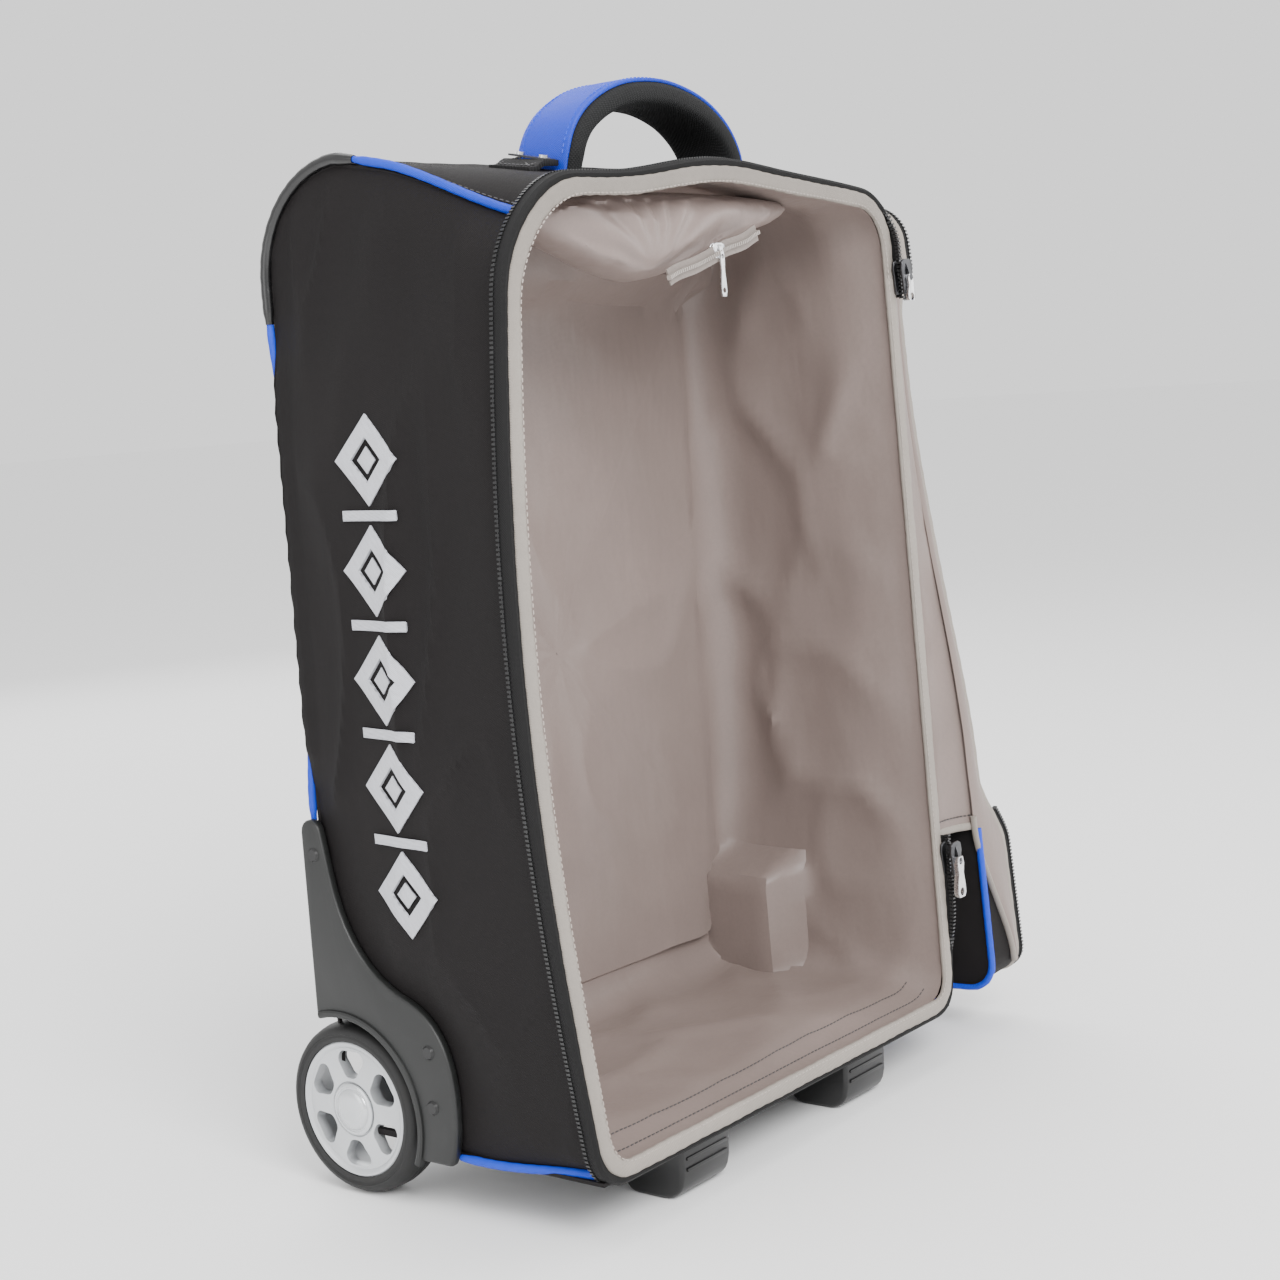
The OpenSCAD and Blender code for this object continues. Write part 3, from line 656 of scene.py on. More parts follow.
def ripple(p: Vector, size: Sequence[float], seed: float) -> float:
    """Smooth repeatable noise from about -1 to 1.

    Args:
        p: Where, in millimetres.
        size: Length of a wave along each axis.
        seed: Picks another pattern.

    Returns:
        The noise there.
    """
    return noise.noise(Vector((p.x / size[0] + seed, p.y / size[1] - seed, p.z / size[2] + 2 * seed)))


def crease(p: Vector, size: Sequence[float], seed: float) -> float:
    """Narrow ridges from 0 to 1 between broad flats."""
    return (1 - abs(ripple(p, size, seed))) ** 5


@dataclass
class Shape:
    """The bag's driving sizes and curves, the same as its solids have.

    Attributes:
        origin: Where x = y = z = 0 of these sizes lies in the row frame.
    """

    origin: Vector
    half_w: float = 173.0
    back_y: float = 88.0
    front_top_y: float = -83.0
    front_bottom_y: float = -99.0
    front_top_z: float = 529.0
    bottom_z: float = 33.0
    crown_z: float = 554.0
    corner_r: float = 60.0
    side_bulge: float = 15.0
    edge_hollow: float = 8.0
    top_crown: float = 12.0
    gusset_top: float = 28.0
    gusset_bottom: float = 50.0
    hinge_low_z: float = 139.0
    hinge_high_z: float = 470.0
    wheel_r: float = 48.0
    axle_y: float = 75.0
    arch_r: float = 52.5
    well_r: float = 55.5
    well_in: float = 142.0
    zip_w: float = 9.0
    low_r: float = 16.0
    hinge_corner_r: float = 24.0
    free_corner_r: float = 50.0
    gather_depth: float = 80.0

    @property
    def front_h(self) -> float:
        """Height of the opening."""
        return self.front_top_z - self.bottom_z

    @property
    def corner(self) -> tuple[float, float]:
        """Centre of the rounded top back corner, as (y, z)."""
        return self.back_y - self.corner_r, self.crown_z - self.corner_r

    def at(self, p: Vector) -> Vector:
        """A point in millimetres, in the row frame's metres."""
        return self.origin + Vector(p) * MM

    def front_y(self, u: float) -> float:
        """Y of the opening's plane at a share u of its height."""
        return lerp(self.front_bottom_y, self.front_top_y, u)

    def top_z(self, y: float) -> float:
        """Height of the side seam over y.

        Args:
            y: Place between front and back.

        Returns:
            The height.
        """
        cy, cz = self.corner
        if y < cy:
            return lerp(self.front_top_z, self.crown_z, (y - self.front_top_y) / (cy - self.front_top_y))
        return cz + math.sqrt(max(0.0, self.corner_r ** 2 - (y - cy) ** 2))

    def bow(self, s: float, t: float) -> float:
        """How far a stuffed side stands out, s from bottom to top and t from front to back."""
        return self.side_bulge * max(0.0, math.sin(math.pi * s)) ** 1.1 * (1 - t ** 2.2)

    def hollow(self, s: float, t: float) -> float:
        """How far the side's front edge bows backward."""
        return self.edge_hollow * math.sin(math.pi * s) * (1 - t)

    def side(self, k: float, s: float, t: float, grow: float = 0.0) -> Vector:
        """A point of a side's face.

        Args:
            k: -1 for the left side, 1 for the right.
            s: Share of the height.
            t: Share of the depth.
            grow: How far outward of the face.

        Returns:
            The point in millimetres.
        """
        cy, cz = self.corner
        reach = self.back_y - 1.5
        y_top = lerp(self.front_top_y, reach, t)
        over_corner = cz + math.sqrt(max(0.0, (reach - cy) ** 2 - (y_top - cy) ** 2))
        top = self.top_z(y_top) - 1.5 if y_top < cy else over_corner
        z = lerp(self.bottom_z + 2.0, top, s)
        u = (z - self.bottom_z) / self.front_h
        y = lerp(self.front_y(min(u, 1.0)), reach, t) + self.hollow(s, t)
        return Vector((k * (self.half_w - 0.3 + self.bow(s, t) + grow), y, z))

    def arch(self, x: float) -> float:
        """Rise of the top's front edge at x: its crown, a slack place on the left and a high one in the middle.

        Args:
            x: Place across.

        Returns:
            The rise above the corners.
        """
        w = x / self.half_w
        wave = 4.0 * math.exp(-((x - 8) / 46) ** 2) - 3.0 * math.exp(-((x + 78) / 38) ** 2)
        return self.top_crown * (1 - w * w) + wave

    def opening(self, x: float, h: float, forward: float = 0.0) -> Vector:
        """A point of the opening's edge, x across and h up its slope."""
        u, w = h / self.front_h, x / self.half_w
        return Vector((x + self.side_bulge * math.sin(math.pi * u) * w ** 3,
                       self.front_y(u) + self.edge_hollow * math.sin(math.pi * u) - forward,
                       self.bottom_z + h + self.arch(x) * max(u, 0.0) ** 8))

    def gather(self, p: Vector) -> Vector:
        """Draws a point of a side or of the top in to the opening's rounded corners, most at the front.

        Args:
            p: The point.

        Returns:
            The point drawn in.
        """
        u = (p.z - self.bottom_z) / self.front_h
        near = smooth(self.gather_depth, 2, p.y - self.front_y(min(u, 1.0)))
        top = max(self.top_z(p.y), self.front_top_z)
        upper = p.z > 280
        r = (self.hinge_corner_r if p.x > 0 else self.free_corner_r) if upper else self.low_r
        out = abs(p.x) - (self.half_w - r)
        rise = p.z - (top - r) if upper else (self.bottom_z + r) - p.z
        if near <= 0 or out <= 0 or rise <= 0:
            return p
        share = max(out, rise) / math.hypot(out, rise)
        q = Vector((math.copysign(self.half_w - r + out * share, p.x), p.y,
                    top - r + rise * share if upper else self.bottom_z + r - rise * share))
        return p.lerp(q, near)

    def rim_flat(self, inset: float) -> list[tuple[float, float]]:
        """The opening's whole outline, flat, clockwise from the hinge side's foot, moved inward by inset.

        Args:
            inset: How far inward of the seam.

        Returns:
            Points as x and height along the slope.
        """
        w, top = self.half_w - inset, self.front_h - inset
        hr, fr, lr = self.hinge_corner_r, self.free_corner_r, self.low_r
        out = [(w, top - hr + inset)]
        out += [(w, lerp(top - hr, lr + inset, i / 24)) for i in range(1, 24)]
        out += arc((w - lr, lr + inset), lr, 0, -90, 6)
        out += [(lerp(w - lr, lr - w, i / 20), inset) for i in range(1, 20)]
        out += arc((lr - w, lr + inset), lr, -90, -180, 6)
        out += [(-w, lerp(lr + inset, top - fr, i / 24)) for i in range(1, 24)]
        out += arc((fr - w, top - fr), fr, 180, 90, 10)
        out += [(lerp(fr - w, w - hr, i / 16), top) for i in range(1, 16)]
        out += arc((w - hr, top - hr), hr, 90, 0, 8)
        return out[1:]

    def rim(self, inset: float, step: float, forward: float = 0.0) -> list[Vector]:
        """The opening's closed edge as points a fixed step apart."""
        points = [self.opening(x, h, forward) for x, h in self.rim_flat(inset)]
        return soften(resample(points, step, closed=True), rounds=2, closed=True)

    def guard_outline(self) -> list[tuple[float, float]]:
        """Outline of a wheel guard as (y, z), with the wheel arch in it."""
        ay, az = self.axle_y, self.wheel_r
        out = arc((ay, az), self.arch_r, 201.2, 69.9, 26)
        out += [(93.0, 130.0), (93.0, 165.0)]
        out += arc((86.0, 202.0), 7.0, 0, 170, 8)
        out += bezier((76, 190), (70, 135), (30, 118), 10)
        out += bezier((30, 118), (-6, 108), (-6, 62), 10)
        out += bezier((-6, 62), (-6, 40), (0, 29), 6)
        return out


# ---------------------------------------------------------------- making meshes


class Bench:
    """Ways of making, shaping and finishing a mesh."""

    def __init__(self, shape: Shape, finishes: Finishes) -> None:
        """Keeps the bag's form and its finishes."""
        self.shape = shape
        self.finishes = finishes

    @staticmethod
    def pick(obj: bpy.types.Object) -> bpy.types.Object:
        """Makes obj the only selected and the active object."""
        bpy.ops.object.select_all(action="DESELECT")
        obj.select_set(True)
        bpy.context.view_layer.objects.active = obj
        return obj

    @staticmethod
    def new_mesh(name: str, points: Sequence[Vector], faces: Sequence[Sequence[int]]) -> bpy.types.Object:
        """An object from points in the row frame and faces.

        Args:
            name: The object's name.
            points: Its points.
            faces: Its faces, as rows of point numbers.

        Returns:
            The object.
        """
        mesh = bpy.data.meshes.new(name)
        mesh.from_pydata([tuple(p) for p in points], [], [tuple(f) for f in faces])
        mesh.validate()
        obj = bpy.data.objects.new(name, mesh)
        bpy.context.scene.collection.objects.link(obj)
        return obj

    def edit(self, obj: bpy.types.Object, *steps: Callable[[], object]) -> bpy.types.Object:
        """Runs operators in edit mode with everything selected.

        Args:
            obj: The mesh object.
            steps: Calls made in turn.

        Returns:
            The same object.
        """
        self.pick(obj)
        bpy.ops.object.mode_set(mode="EDIT")
        bpy.ops.mesh.select_all(action="SELECT")
        for step in steps:
            step()
        bpy.ops.object.mode_set(mode="OBJECT")
        return obj

    def outward(self, obj: bpy.types.Object) -> bpy.types.Object:
        """Merges doubles and turns every face of a closed form outward."""
        return self.edit(obj, lambda: bpy.ops.mesh.remove_doubles(threshold=2e-6),
                         lambda: bpy.ops.mesh.normals_make_consistent(inside=False))

    def apply(self, obj: bpy.types.Object, kind: str, **settings: object) -> bpy.types.Object:
        """Adds a modifier and applies it.

        Args:
            obj: The object.
            kind: The modifier's type.
            settings: Its settings.

        Returns:
            The same object.
        """
        self.pick(obj)
        modifier = obj.modifiers.new(kind.lower(), kind)
        for key, value in settings.items():
            setattr(modifier, key, value)
        bpy.ops.object.modifier_apply(modifier=modifier.name)
        return obj

    def bevel(self, obj: bpy.types.Object, width: float, segments: int = 2, angle: float = 35.0) -> bpy.types.Object:
        """Rounds the sharp edges by width millimetres."""
        return self.apply(obj, "BEVEL", width=width * MM, segments=segments, limit_method="ANGLE",
                          angle_limit=math.radians(angle), harden_normals=False)

    def grid(self, name: str, rows: Sequence[Sequence[Vector]], around: bool = False, thick: float = 0.0,
             facing: Vector | None = None, keep: Callable[[Vector], bool] | None = None) -> bpy.types.Object:
        """A cloth surface through rows of points in millimetres, with a UV map in metres.

        Args:
            name: The object's name.
            rows: Rows of points, all of one length.
            around: Whether each row closes on itself.
            thick: Thickness given behind the face, in millimetres.
            facing: A point that the face looks away from; a face that looks at it is turned.
            keep: Tells whether a face whose middle is here stays.

        Returns:
            The object.
        """
        n, m = len(rows), len(rows[0])
        points = [self.shape.at(p) for row in rows for p in row]
        us, vs = np.zeros((n, m + 1)), np.zeros((n, m + 1))
        for i in range(n):
            for j in range(1, m + 1):
                us[i, j] = us[i, j - 1] + (rows[i][j % m] - rows[i][j - 1]).length * MM
            if i:
                for j in range(m + 1):
                    vs[i, j] = vs[i - 1, j] + (rows[i][j % m] - rows[i - 1][j % m]).length * MM
        us -= us[:, m // 2:m // 2 + 1]
        faces, uvs = [], []
        for i in range(n - 1):
            for j in range(m if around else m - 1):
                k = (j + 1) % m
                mid = (rows[i][j] + rows[i][k] + rows[i + 1][k] + rows[i + 1][j]) / 4
                if keep is None or keep(mid):
                    faces.append((i * m + j, i * m + k, (i + 1) * m + k, (i + 1) * m + j))
                    uvs += [(us[i, j], vs[i, j]), (us[i, j + 1], vs[i, j + 1]),
                            (us[i + 1, j + 1], vs[i + 1, j + 1]), (us[i + 1, j], vs[i + 1, j])]
        obj = self.new_mesh(name, points, faces)
        layer = obj.data.uv_layers.new(name="UVMap")
        layer.data.foreach_set("uv", [c for uv in uvs for c in uv])
        if facing is not None:
            away = self.shape.at(facing)
            turned = sum((f.center - away).normalized().dot(f.normal) * f.area for f in obj.data.polygons)
            if turned < 0:
                obj.data.flip_normals()
        if thick:
            self.apply(obj, "SOLIDIFY", thickness=thick * MM, offset=-1.0, use_even_offset=False)
        self.pick(obj)
        bpy.ops.object.mode_set(mode="EDIT")
        bpy.ops.mesh.select_all(action="DESELECT")
        bpy.ops.mesh.select_loose()
        bpy.ops.mesh.delete(type="VERT")
        bpy.ops.object.mode_set(mode="OBJECT")
        return obj

    def sweep(self, name: str, path: Sequence[Vector], section: Section, side: Vector | Callable[[int], Vector],
              closed: bool = False, swell: Callable[[int], float] | None = None) -> bpy.types.Object:
        """A section carried along a path.

        Args:
            name: The object's name.
            path: Points in millimetres.
            section: Closed outline of (outward, sideways) points.
            side: The sideways direction, or a function that gives it at each point.
            closed: Whether the path closes on itself.
            swell: Scale of the section at each point.

        Returns:
            The object, closed and facing outward.
        """
        n = len(path)
        rows = []
        for i in range(n):
            before = path[i - 1] if closed or i else path[i]
            after = path[(i + 1) % n] if closed or i < n - 1 else path[i]
            along = (after - before).normalized()
            sideways = (side(i) if callable(side) else side).normalized()
            out = sideways.cross(along).normalized()
            sideways = along.cross(out).normalized()
            size = swell(i) if swell else 1.0
            rows.append([path[i] + out * (a * size) + sideways * (b * size) for a, b in section])
        if closed:
            rows.append(rows[0])
        obj = self.grid(name, rows, around=True)
        if not closed:
            self.pick(obj)
            bpy.ops.object.mode_set(mode="EDIT")
            bpy.ops.mesh.select_all(action="DESELECT")
            bpy.ops.mesh.select_non_manifold(extend=False)
            bpy.ops.mesh.fill_holes(sides=0)
            bpy.ops.object.mode_set(mode="OBJECT")
            self.edit(obj, lambda: bpy.ops.mesh.fill_holes(sides=0))
        return self.outward(obj)

    def turned(self, name: str, profile: Section, centre: Vector, axis: Vector, steps: int = 64) -> bpy.types.Object:
        """A closed profile spun round an axis.

        Args:
            name: The object's name.
            profile: (radius, along) points in millimetres, closed.
            centre: Where along = 0 lies on the axis, in millimetres.
            axis: The axis.
            steps: Steps of the spin.

        Returns:
            The object.
        """
        self.pick_none()
        bpy.ops.mesh.primitive_circle_add(vertices=len(profile), radius=0.01)
        obj = bpy.context.active_object
        obj.name = name
        axis = Vector(axis).normalized()
        radial = axis.orthogonal().normalized()
        middle = self.shape.at(centre)
        for vertex, (r, a) in zip(obj.data.vertices, profile):
            vertex.co = middle + radial * (r * MM) + axis * (a * MM)
        self.edit(obj, lambda: bpy.ops.mesh.spin(
            steps=steps, angle=2 * math.pi, center=tuple(middle), axis=tuple(axis)))
        return self.outward(obj)

    @staticmethod
    def pick_none() -> None:
        """Deselects everything."""
        bpy.ops.object.select_all(action="DESELECT")

    def plate(self, name: str, outline: Sequence[Vector], push: Vector) -> bpy.types.Object:
        """A flat outline extruded into a closed plate.

        Args:
            name: The object's name.
            outline: Points of one face, in millimetres.
            push: The extrusion, in millimetres.

        Returns:
            The object.
        """
        self.pick_none()
        bpy.ops.mesh.primitive_circle_add(vertices=len(outline), radius=0.01, fill_type="NGON")
        obj = bpy.context.active_object
        obj.name = name
        for vertex, p in zip(obj.data.vertices, outline):
            vertex.co = self.shape.at(p)
        self.edit(obj, lambda: bpy.ops.mesh.extrude_region_move(
            TRANSFORM_OT_translate={"value": tuple(Vector(push) * MM)}))
        return self.outward(obj)

    def block(self, name: str, low: Sequence[float], high: Sequence[float], round_by: float = 1.0,
              segments: int = 3) -> bpy.types.Object:
        """A box between two corners in millimetres, with rounded edges.

        Args:
            name: The object's name.
            low: Lowest corner.
            high: Highest corner.
            round_by: The edges' radius.
            segments: Steps round an edge.

        Returns:
            The object.
        """
        low, high = Vector(low), Vector(high)
        self.pick_none()
        bpy.ops.mesh.primitive_cube_add(size=1.0)
        obj = bpy.context.active_object
        obj.name = name
        middle, size = self.shape.at((low + high) / 2), (high - low) * MM
        for vertex in obj.data.vertices:
            vertex.co = middle + Vector(a * b for a, b in zip(vertex.co, size))
        return self.bevel(obj, round_by, segments, angle=30) if round_by else obj

    def cut(self, obj: bpy.types.Object, *tools: bpy.types.Object) -> bpy.types.Object:
        """Takes the tools' forms out of obj and removes them."""
        for tool in tools:
            self.apply(obj, "BOOLEAN", operation="DIFFERENCE", solver="EXACT", object=tool)
            bpy.data.objects.remove(tool)
        return obj

    def join(self, name: str, parts: Sequence[bpy.types.Object]) -> bpy.types.Object:
        """One object of several.

        Args:
            name: The object's name.
            parts: The objects to join.

        Returns:
            The joined object.
        """
        self.pick(parts[0])
        for part in parts:
            part.select_set(True)
        bpy.ops.object.join()
        parts[0].name = name
        return parts[0]

    def repeat(self, name: str, points: Sequence[Vector], faces: Sequence[Sequence[int]],
               frames: Sequence[Matrix]) -> bpy.types.Object:
        """Copies of one small form, as one object.

        Args:
            name: The object's name.
            points: The form's points in millimetres round its own origin.
            faces: Its faces.
            frames: Where each copy goes, in millimetres.

        Returns:
            The object.
        """
        base = np.array([(*p, 1.0) for p in points])
        every = np.concatenate([(base @ np.array(f).T)[:, :3] for f in frames])
        placed = every * MM + np.array(self.shape.origin)
        n = len(points)
        return self.outward(self.new_mesh(name, placed.tolist(), [
            [i + n * k for i in face] for k in range(len(frames)) for face in faces]))

    def frames_along(self, path: Sequence[Vector], side: Vector | Callable[[int], Vector],
                     lift: float = 0.0) -> list[Matrix]:
        """Frames at each point of a path: x along it, z out of the surface and y across.

        Args:
            path: Points in millimetres.
            side: The direction out of the surface.
            lift: How far out of the surface the frames stand.

        Returns:
            One matrix for each point.
        """
        out = []
        for i, p in enumerate(path):
            along = (path[min(i + 1, len(path) - 1)] - path[max(i - 1, 0)]).normalized()
            up = (side(i) if callable(side) else side).normalized()
            across = up.cross(along).normalized()
            up = along.cross(across).normalized()
            m = Matrix((along, across, up)).transposed().to_4x4()
            m.translation = p + up * lift
            out.append(m)
        return out

    def stitches(self, name: str, path: Sequence[Vector], side: Vector | Callable[[int], Vector], pitch: float = 3.4,
                 length: float = 2.5, lift: float = 0.15, closed: bool = False) -> bpy.types.Object:
        """A row of stitches along a path.

        Args:
            name: The object's name.
            path: Points in millimetres.
            side: The direction out of the cloth, or a function of the path's point.
            pitch: Distance between stitches.
            length: Length of one stitch.
            lift: How far a stitch stands out of the cloth.
            closed: Whether the path closes on itself.

        Returns:
            The object.
        """
        spots = resample(path, pitch, closed)
        scale = len(path) / len(spots)
        turn = (lambda i: side(min(len(path) - 1, int(i * scale)))) if callable(side) else side
        h, r = length / 2, 0.42
        ring = [(-0.75 * h, 0, r), (0.75 * h, 0, r), (-0.75 * h, r, 0), (0.75 * h, r, 0), (-0.75 * h, 0, -r),
                (0.75 * h, 0, -r), (-0.75 * h, -r, 0), (0.75 * h, -r, 0), (-h, 0, -0.3), (h, 0, -0.3)]
        faces = [(0, 1, 3, 2), (2, 3, 5, 4), (4, 5, 7, 6), (6, 7, 1, 0), (8, 0, 2), (8, 2, 4), (8, 4, 6), (8, 6, 0),
                 (9, 3, 1), (9, 5, 3), (9, 7, 5), (9, 1, 7)]
        return self.repeat(name, [Vector(p) for p in ring], faces, self.frames_along(spots, turn, lift))

    def teeth(self, name: str, path: Sequence[Vector], side: Vector | Callable[[int], Vector], pitch: float = 2.4,
              width: float = 4.2, closed: bool = False) -> bpy.types.Object:
        """A zip's moulded teeth along its edge.

        Args:
            name: The object's name.
            path: The row's line.
            side: Which way the teeth reach, or that at each spot.
            pitch: Distance between teeth.
            width: A tooth's length.
            closed: Whether the line is a loop.

        Returns:
            The object.
        """
        spots = resample(path, pitch, closed)
        scale = len(path) / len(spots)
        turn = (lambda i: side(min(len(path) - 1, int(i * scale)))) if callable(side) else side
        w, a, b, h = width / 2, 0.75, 0.5, 1.3
        form = [(-a, -w, -h), (a, -w, -h), (a, w, -h), (-a, w, -h), (-b, -w * 0.8, h), (b, -w * 0.8, h),
                (b, w * 0.8, h), (-b, w * 0.8, h)]
        faces = [(0, 3, 2, 1), (4, 5, 6, 7), (0, 1, 5, 4), (1, 2, 6, 5), (2, 3, 7, 6), (3, 0, 4, 7)]
        return self.repeat(name, [Vector(p) for p in form], faces, self.frames_along(spots, turn))

    def dress(self, obj: bpy.types.Object, finish: str, body: str = "shell", nodes: Sequence[str] = (),
              slot: str | None = None, angle: float = 40.0) -> bpy.types.Object:
        """Gives a finished piece its material, smooth shading, body and the CAD nodes that it stands for.

        Args:
            obj: The piece.
            finish: Name of its finish.
            body: The body it rides on, or an empty name for none.
            nodes: CAD nodes it replaces.
            slot: The record's material slot, if not the finish's own name; not used.
            angle: Edges sharper than this stay sharp, in degrees.

        Returns:
            The piece.
        """
        obj.data.materials.clear()
        obj.data.materials.append(self.finishes.get(finish))
        self.pick(obj)
        bpy.ops.object.shade_smooth_by_angle(angle=math.radians(angle))
        for modifier in list(obj.modifiers):
            bpy.ops.object.modifier_apply(modifier=modifier.name)
        if body:
            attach(obj, body)
        if nodes:
            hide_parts(*nodes)
        slot or finish
        LOG.info("%s: %d faces", obj.name, len(obj.data.polygons))
        return obj

    def repaint(self, node: str, finish: str) -> None:
        """Gives a CAD node that stays in view its finish.

        Args:
            node: The node's name.
            finish: The finish's name.
        """
        obj = bpy.data.objects[node]
        obj.data.materials.clear()
        obj.data.materials.append(self.finishes.get(finish))


# ---------------------------------------------------------------- outer shell


class Side(Enum):
    """The two sides of the bag, by the sign of x."""

    LEFT = -1
    RIGHT = 1

    @property
    def word(self) -> str:
        """The side's name in lower case."""
        return self.name.lower()


FORWARD = Vector((0, -1, 0))
UP = Vector((0, 0, 1))


@dataclass
class Shell:
    """The sewn outer fabric with its piping, bumpers and topstitching.

    Attributes:
        bench: The tools.
        tuck: How deep the cloth dips into its seams.
        pipe_r: Radius of the piping.
        bumper_r: Radius of the corner bumpers.
    """

    bench: Bench
    tuck: float = 2.6
    pipe_r: float = 2.3
    bumper_r: float = 3.3
    wrap_low: float = 216.0
    wrap_high: float = 474.0

    def __post_init__(self) -> None:
        """Keeps the guard's filled outline, which the cloth lies under."""
        self.shape = self.bench.shape
        outline = self.shape.guard_outline()
        self.under_guard = [(0, 29), (93, 29)] + outline[27:]

    def side_face(self, side: Side, s: float, t: float) -> Vector:
        """A point of a side's cloth, with its seams, its flat under the guard and its creases.

        Args:
            side: Which side.
            s: Share of the way up.
            t: Share of the way back.

        Returns:
            The point.
        """
        shape, k = self.shape, side.value
        p = shape.side(k, s, t)
        near_edge = min(s * 500, (1 - s) * 500, (1 - t) * 185)
        edge = min(near_edge, t * 185)
        free = smooth(-4, 30, distance((p.y, p.z), self.under_guard)) if p.z < 260 else 1.0
        stand = abs(p.x) - shape.half_w
        drape = 2.1 * ripple(p, (90, 46, 210), 3.1 + k) + 1.1 * ripple(p, (90, 21, 90), 9.4 + k)
        drape += 3.4 * crease(Vector((p.x, p.y + 0.22 * p.z, p.z)), (80, 34, 150), 5.7 + k) - 1.0
        pucker = 0.5 * math.sin(p.z / 2.6 + 2 * ripple(p, (30, 30, 30), seed=2)) * math.exp(-near_edge / 7)
        stand = stand * free + drape * smooth(0, 34, edge) * free + pucker - self.tuck * math.exp(-near_edge / 5)
        stand += lerp(-1.2, 0, free)
        wrap = self.wrap(p.z) * smooth(0.93, 1.0, t)
        stand += wrap * 3.4
        return shape.gather(Vector((k * (shape.half_w + stand), p.y + 1.4 * wrap, p.z)))

    def wrap(self, z: float) -> float:
        """How far the side's cloth wraps over the back piping at a height, from 0 to 1."""
        return smooth(self.wrap_low, self.wrap_low + 45, z) * smooth(self.wrap_high, self.wrap_high - 45, z)

    def side_at(self, side: Side, y: float, z: float) -> Vector:
        """The point of a side's cloth at a given y and z.

        Args:
            side: Which side.
            y: Place between front and back.
            z: Height.

        Returns:
            The point.
        """
        shape = self.shape
        reach = shape.back_y - 1.5
        u = (z - shape.bottom_z) / shape.front_h
        front = shape.front_y(u) + shape.edge_hollow * math.sin(math.pi * u) * 0.5
        t = (y - front) / (reach - front)
        s = (z - shape.bottom_z - 2) / (shape.top_z(y) - 1.5 - shape.bottom_z - 2)
        p = self.side_face(side, s, t)
        return Vector((p.x, y, z))

    def side_panel(self, side: Side) -> None:
        """One side's cloth, cut out for its wheel.

        Args:
            side: Which side.
        """
        ts = [math.sin(math.pi / 2 * j / 46) * 0.35 + j / 46 * 0.65 for j in range(47)]
        rows = [[self.side_face(side, i / 124, t) for t in ts] for i in range(125)]

        def keep(p: Vector) -> bool:
            """Whether the cloth goes on here, and not under the guard's inner part."""
            return not (p.z < 215 and distance((p.y, p.z), self.under_guard) < -9)

        name = f"{side.word}_side_cloth"
        panel = self.bench.grid(name, rows, thick=2.0, facing=Vector((0, 0, 280)), keep=keep)
        self.bench.dress(panel, "black_polyester", nodes=[f"{side.word}_side_panel"])
        seam = [self.side_face(side, s / 90, 0.045) for s in range(3, 89)]
        out = Vector((side.value, -0.25, 0))
        row = self.bench.stitches(f"{side.word}_front_topstitch", seam, out, pitch=3.6, length=2.6, lift=0.1)
        self.bench.dress(row, "black_thread", slot="black_polyester")

    def over_top(self) -> list[tuple[float, float, Vector]]:
        """Line over the top and round the corner as (y, z, outward), a few millimetres apart."""
        shape = self.shape
        cy, cz = shape.corner
        out = []
        slope = Vector((0, -(shape.crown_z - shape.front_top_z), cy - shape.front_top_y)).normalized()
        for i in range(29):
            y = lerp(shape.front_top_y - 0.5, cy, i / 28)
            out.append((y, shape.top_z(y) - 0.6, slope.lerp(UP, smooth(0.7, 1, i / 28))))
        r = shape.corner_r - 0.6
        for i in range(1, 25):
            a = math.radians(90 - 90 * i / 24)
            out.append((cy + r * math.cos(a), cz + r * math.sin(a), Vector((0, math.cos(a), math.sin(a)))))
        return out

    def top_face(self, x: float, y: float, z: float, out: Vector) -> Vector:
        """A point of the top's cloth over the line's point (y, z).

        Args:
            x: Place across.
            y: The line's y.
            z: The line's z.
            out: Outward there.

        Returns:
            The point.
        """
        shape = self.shape
        w = x / PANEL_HALF
        depth = max(0.0, 1 - (y - shape.front_top_y) / (shape.corner[0] - shape.front_top_y))
        wave = (shape.arch(x) - shape.top_crown * (1 - w * w)) * smooth(0.45, 1, depth)
        p = Vector((x, y, z + shape.top_crown * (1 - w * w) * depth + wave))
        edge = PANEL_HALF - abs(x)
        lift = 0.9 * ripple(p, (60, 40, 60), seed=4.4) + 1.0 * crease(p, (70, 30, 50), seed=8.2) - 0.4
        return shape.gather(p + out * (lift * smooth(0, 25, edge) * smooth(-83, -60, y) - 2.2 * math.exp(-edge / 5)))

    def top_panel(self) -> None:
        """The cloth over the top and the rounded corner, cut out for the handle's cup."""
        xs = [PANEL_HALF * (0.7 * (j / 30 - 1) + 0.3 * math.sin(math.pi / 2 * (j / 30 - 1))) for j in range(61)]
        rows = [[self.top_face(x, y, z, out) for x in xs] for y, z, out in self.over_top()]

        def keep(p: Vector) -> bool:
            """Whether the cloth goes on here, and not over the cup."""
            return not (abs(p.x) < 79 and p.y > 53 and p.z > 503)

        panel = self.bench.grid("top_cloth", rows, thick=2.0, facing=Vector((0, 0, 300)), keep=keep)
        self.bench.dress(panel, "black_polyester", nodes=["top_panel"])
        line = self.over_top()
        for k in (-1, 1):
            path = [self.top_face(k * 163, y, z, out) for y, z, out in line[1:]]
            outs = [out for _, _, out in line[1:]]
            row = self.bench.stitches(f"top_topstitch_{Side(k).word}", path, lambda i, o=outs: o[i], pitch=3.6,
                                      length=2.6, lift=0.1)
            self.bench.dress(row, "black_thread", slot="black_polyester")

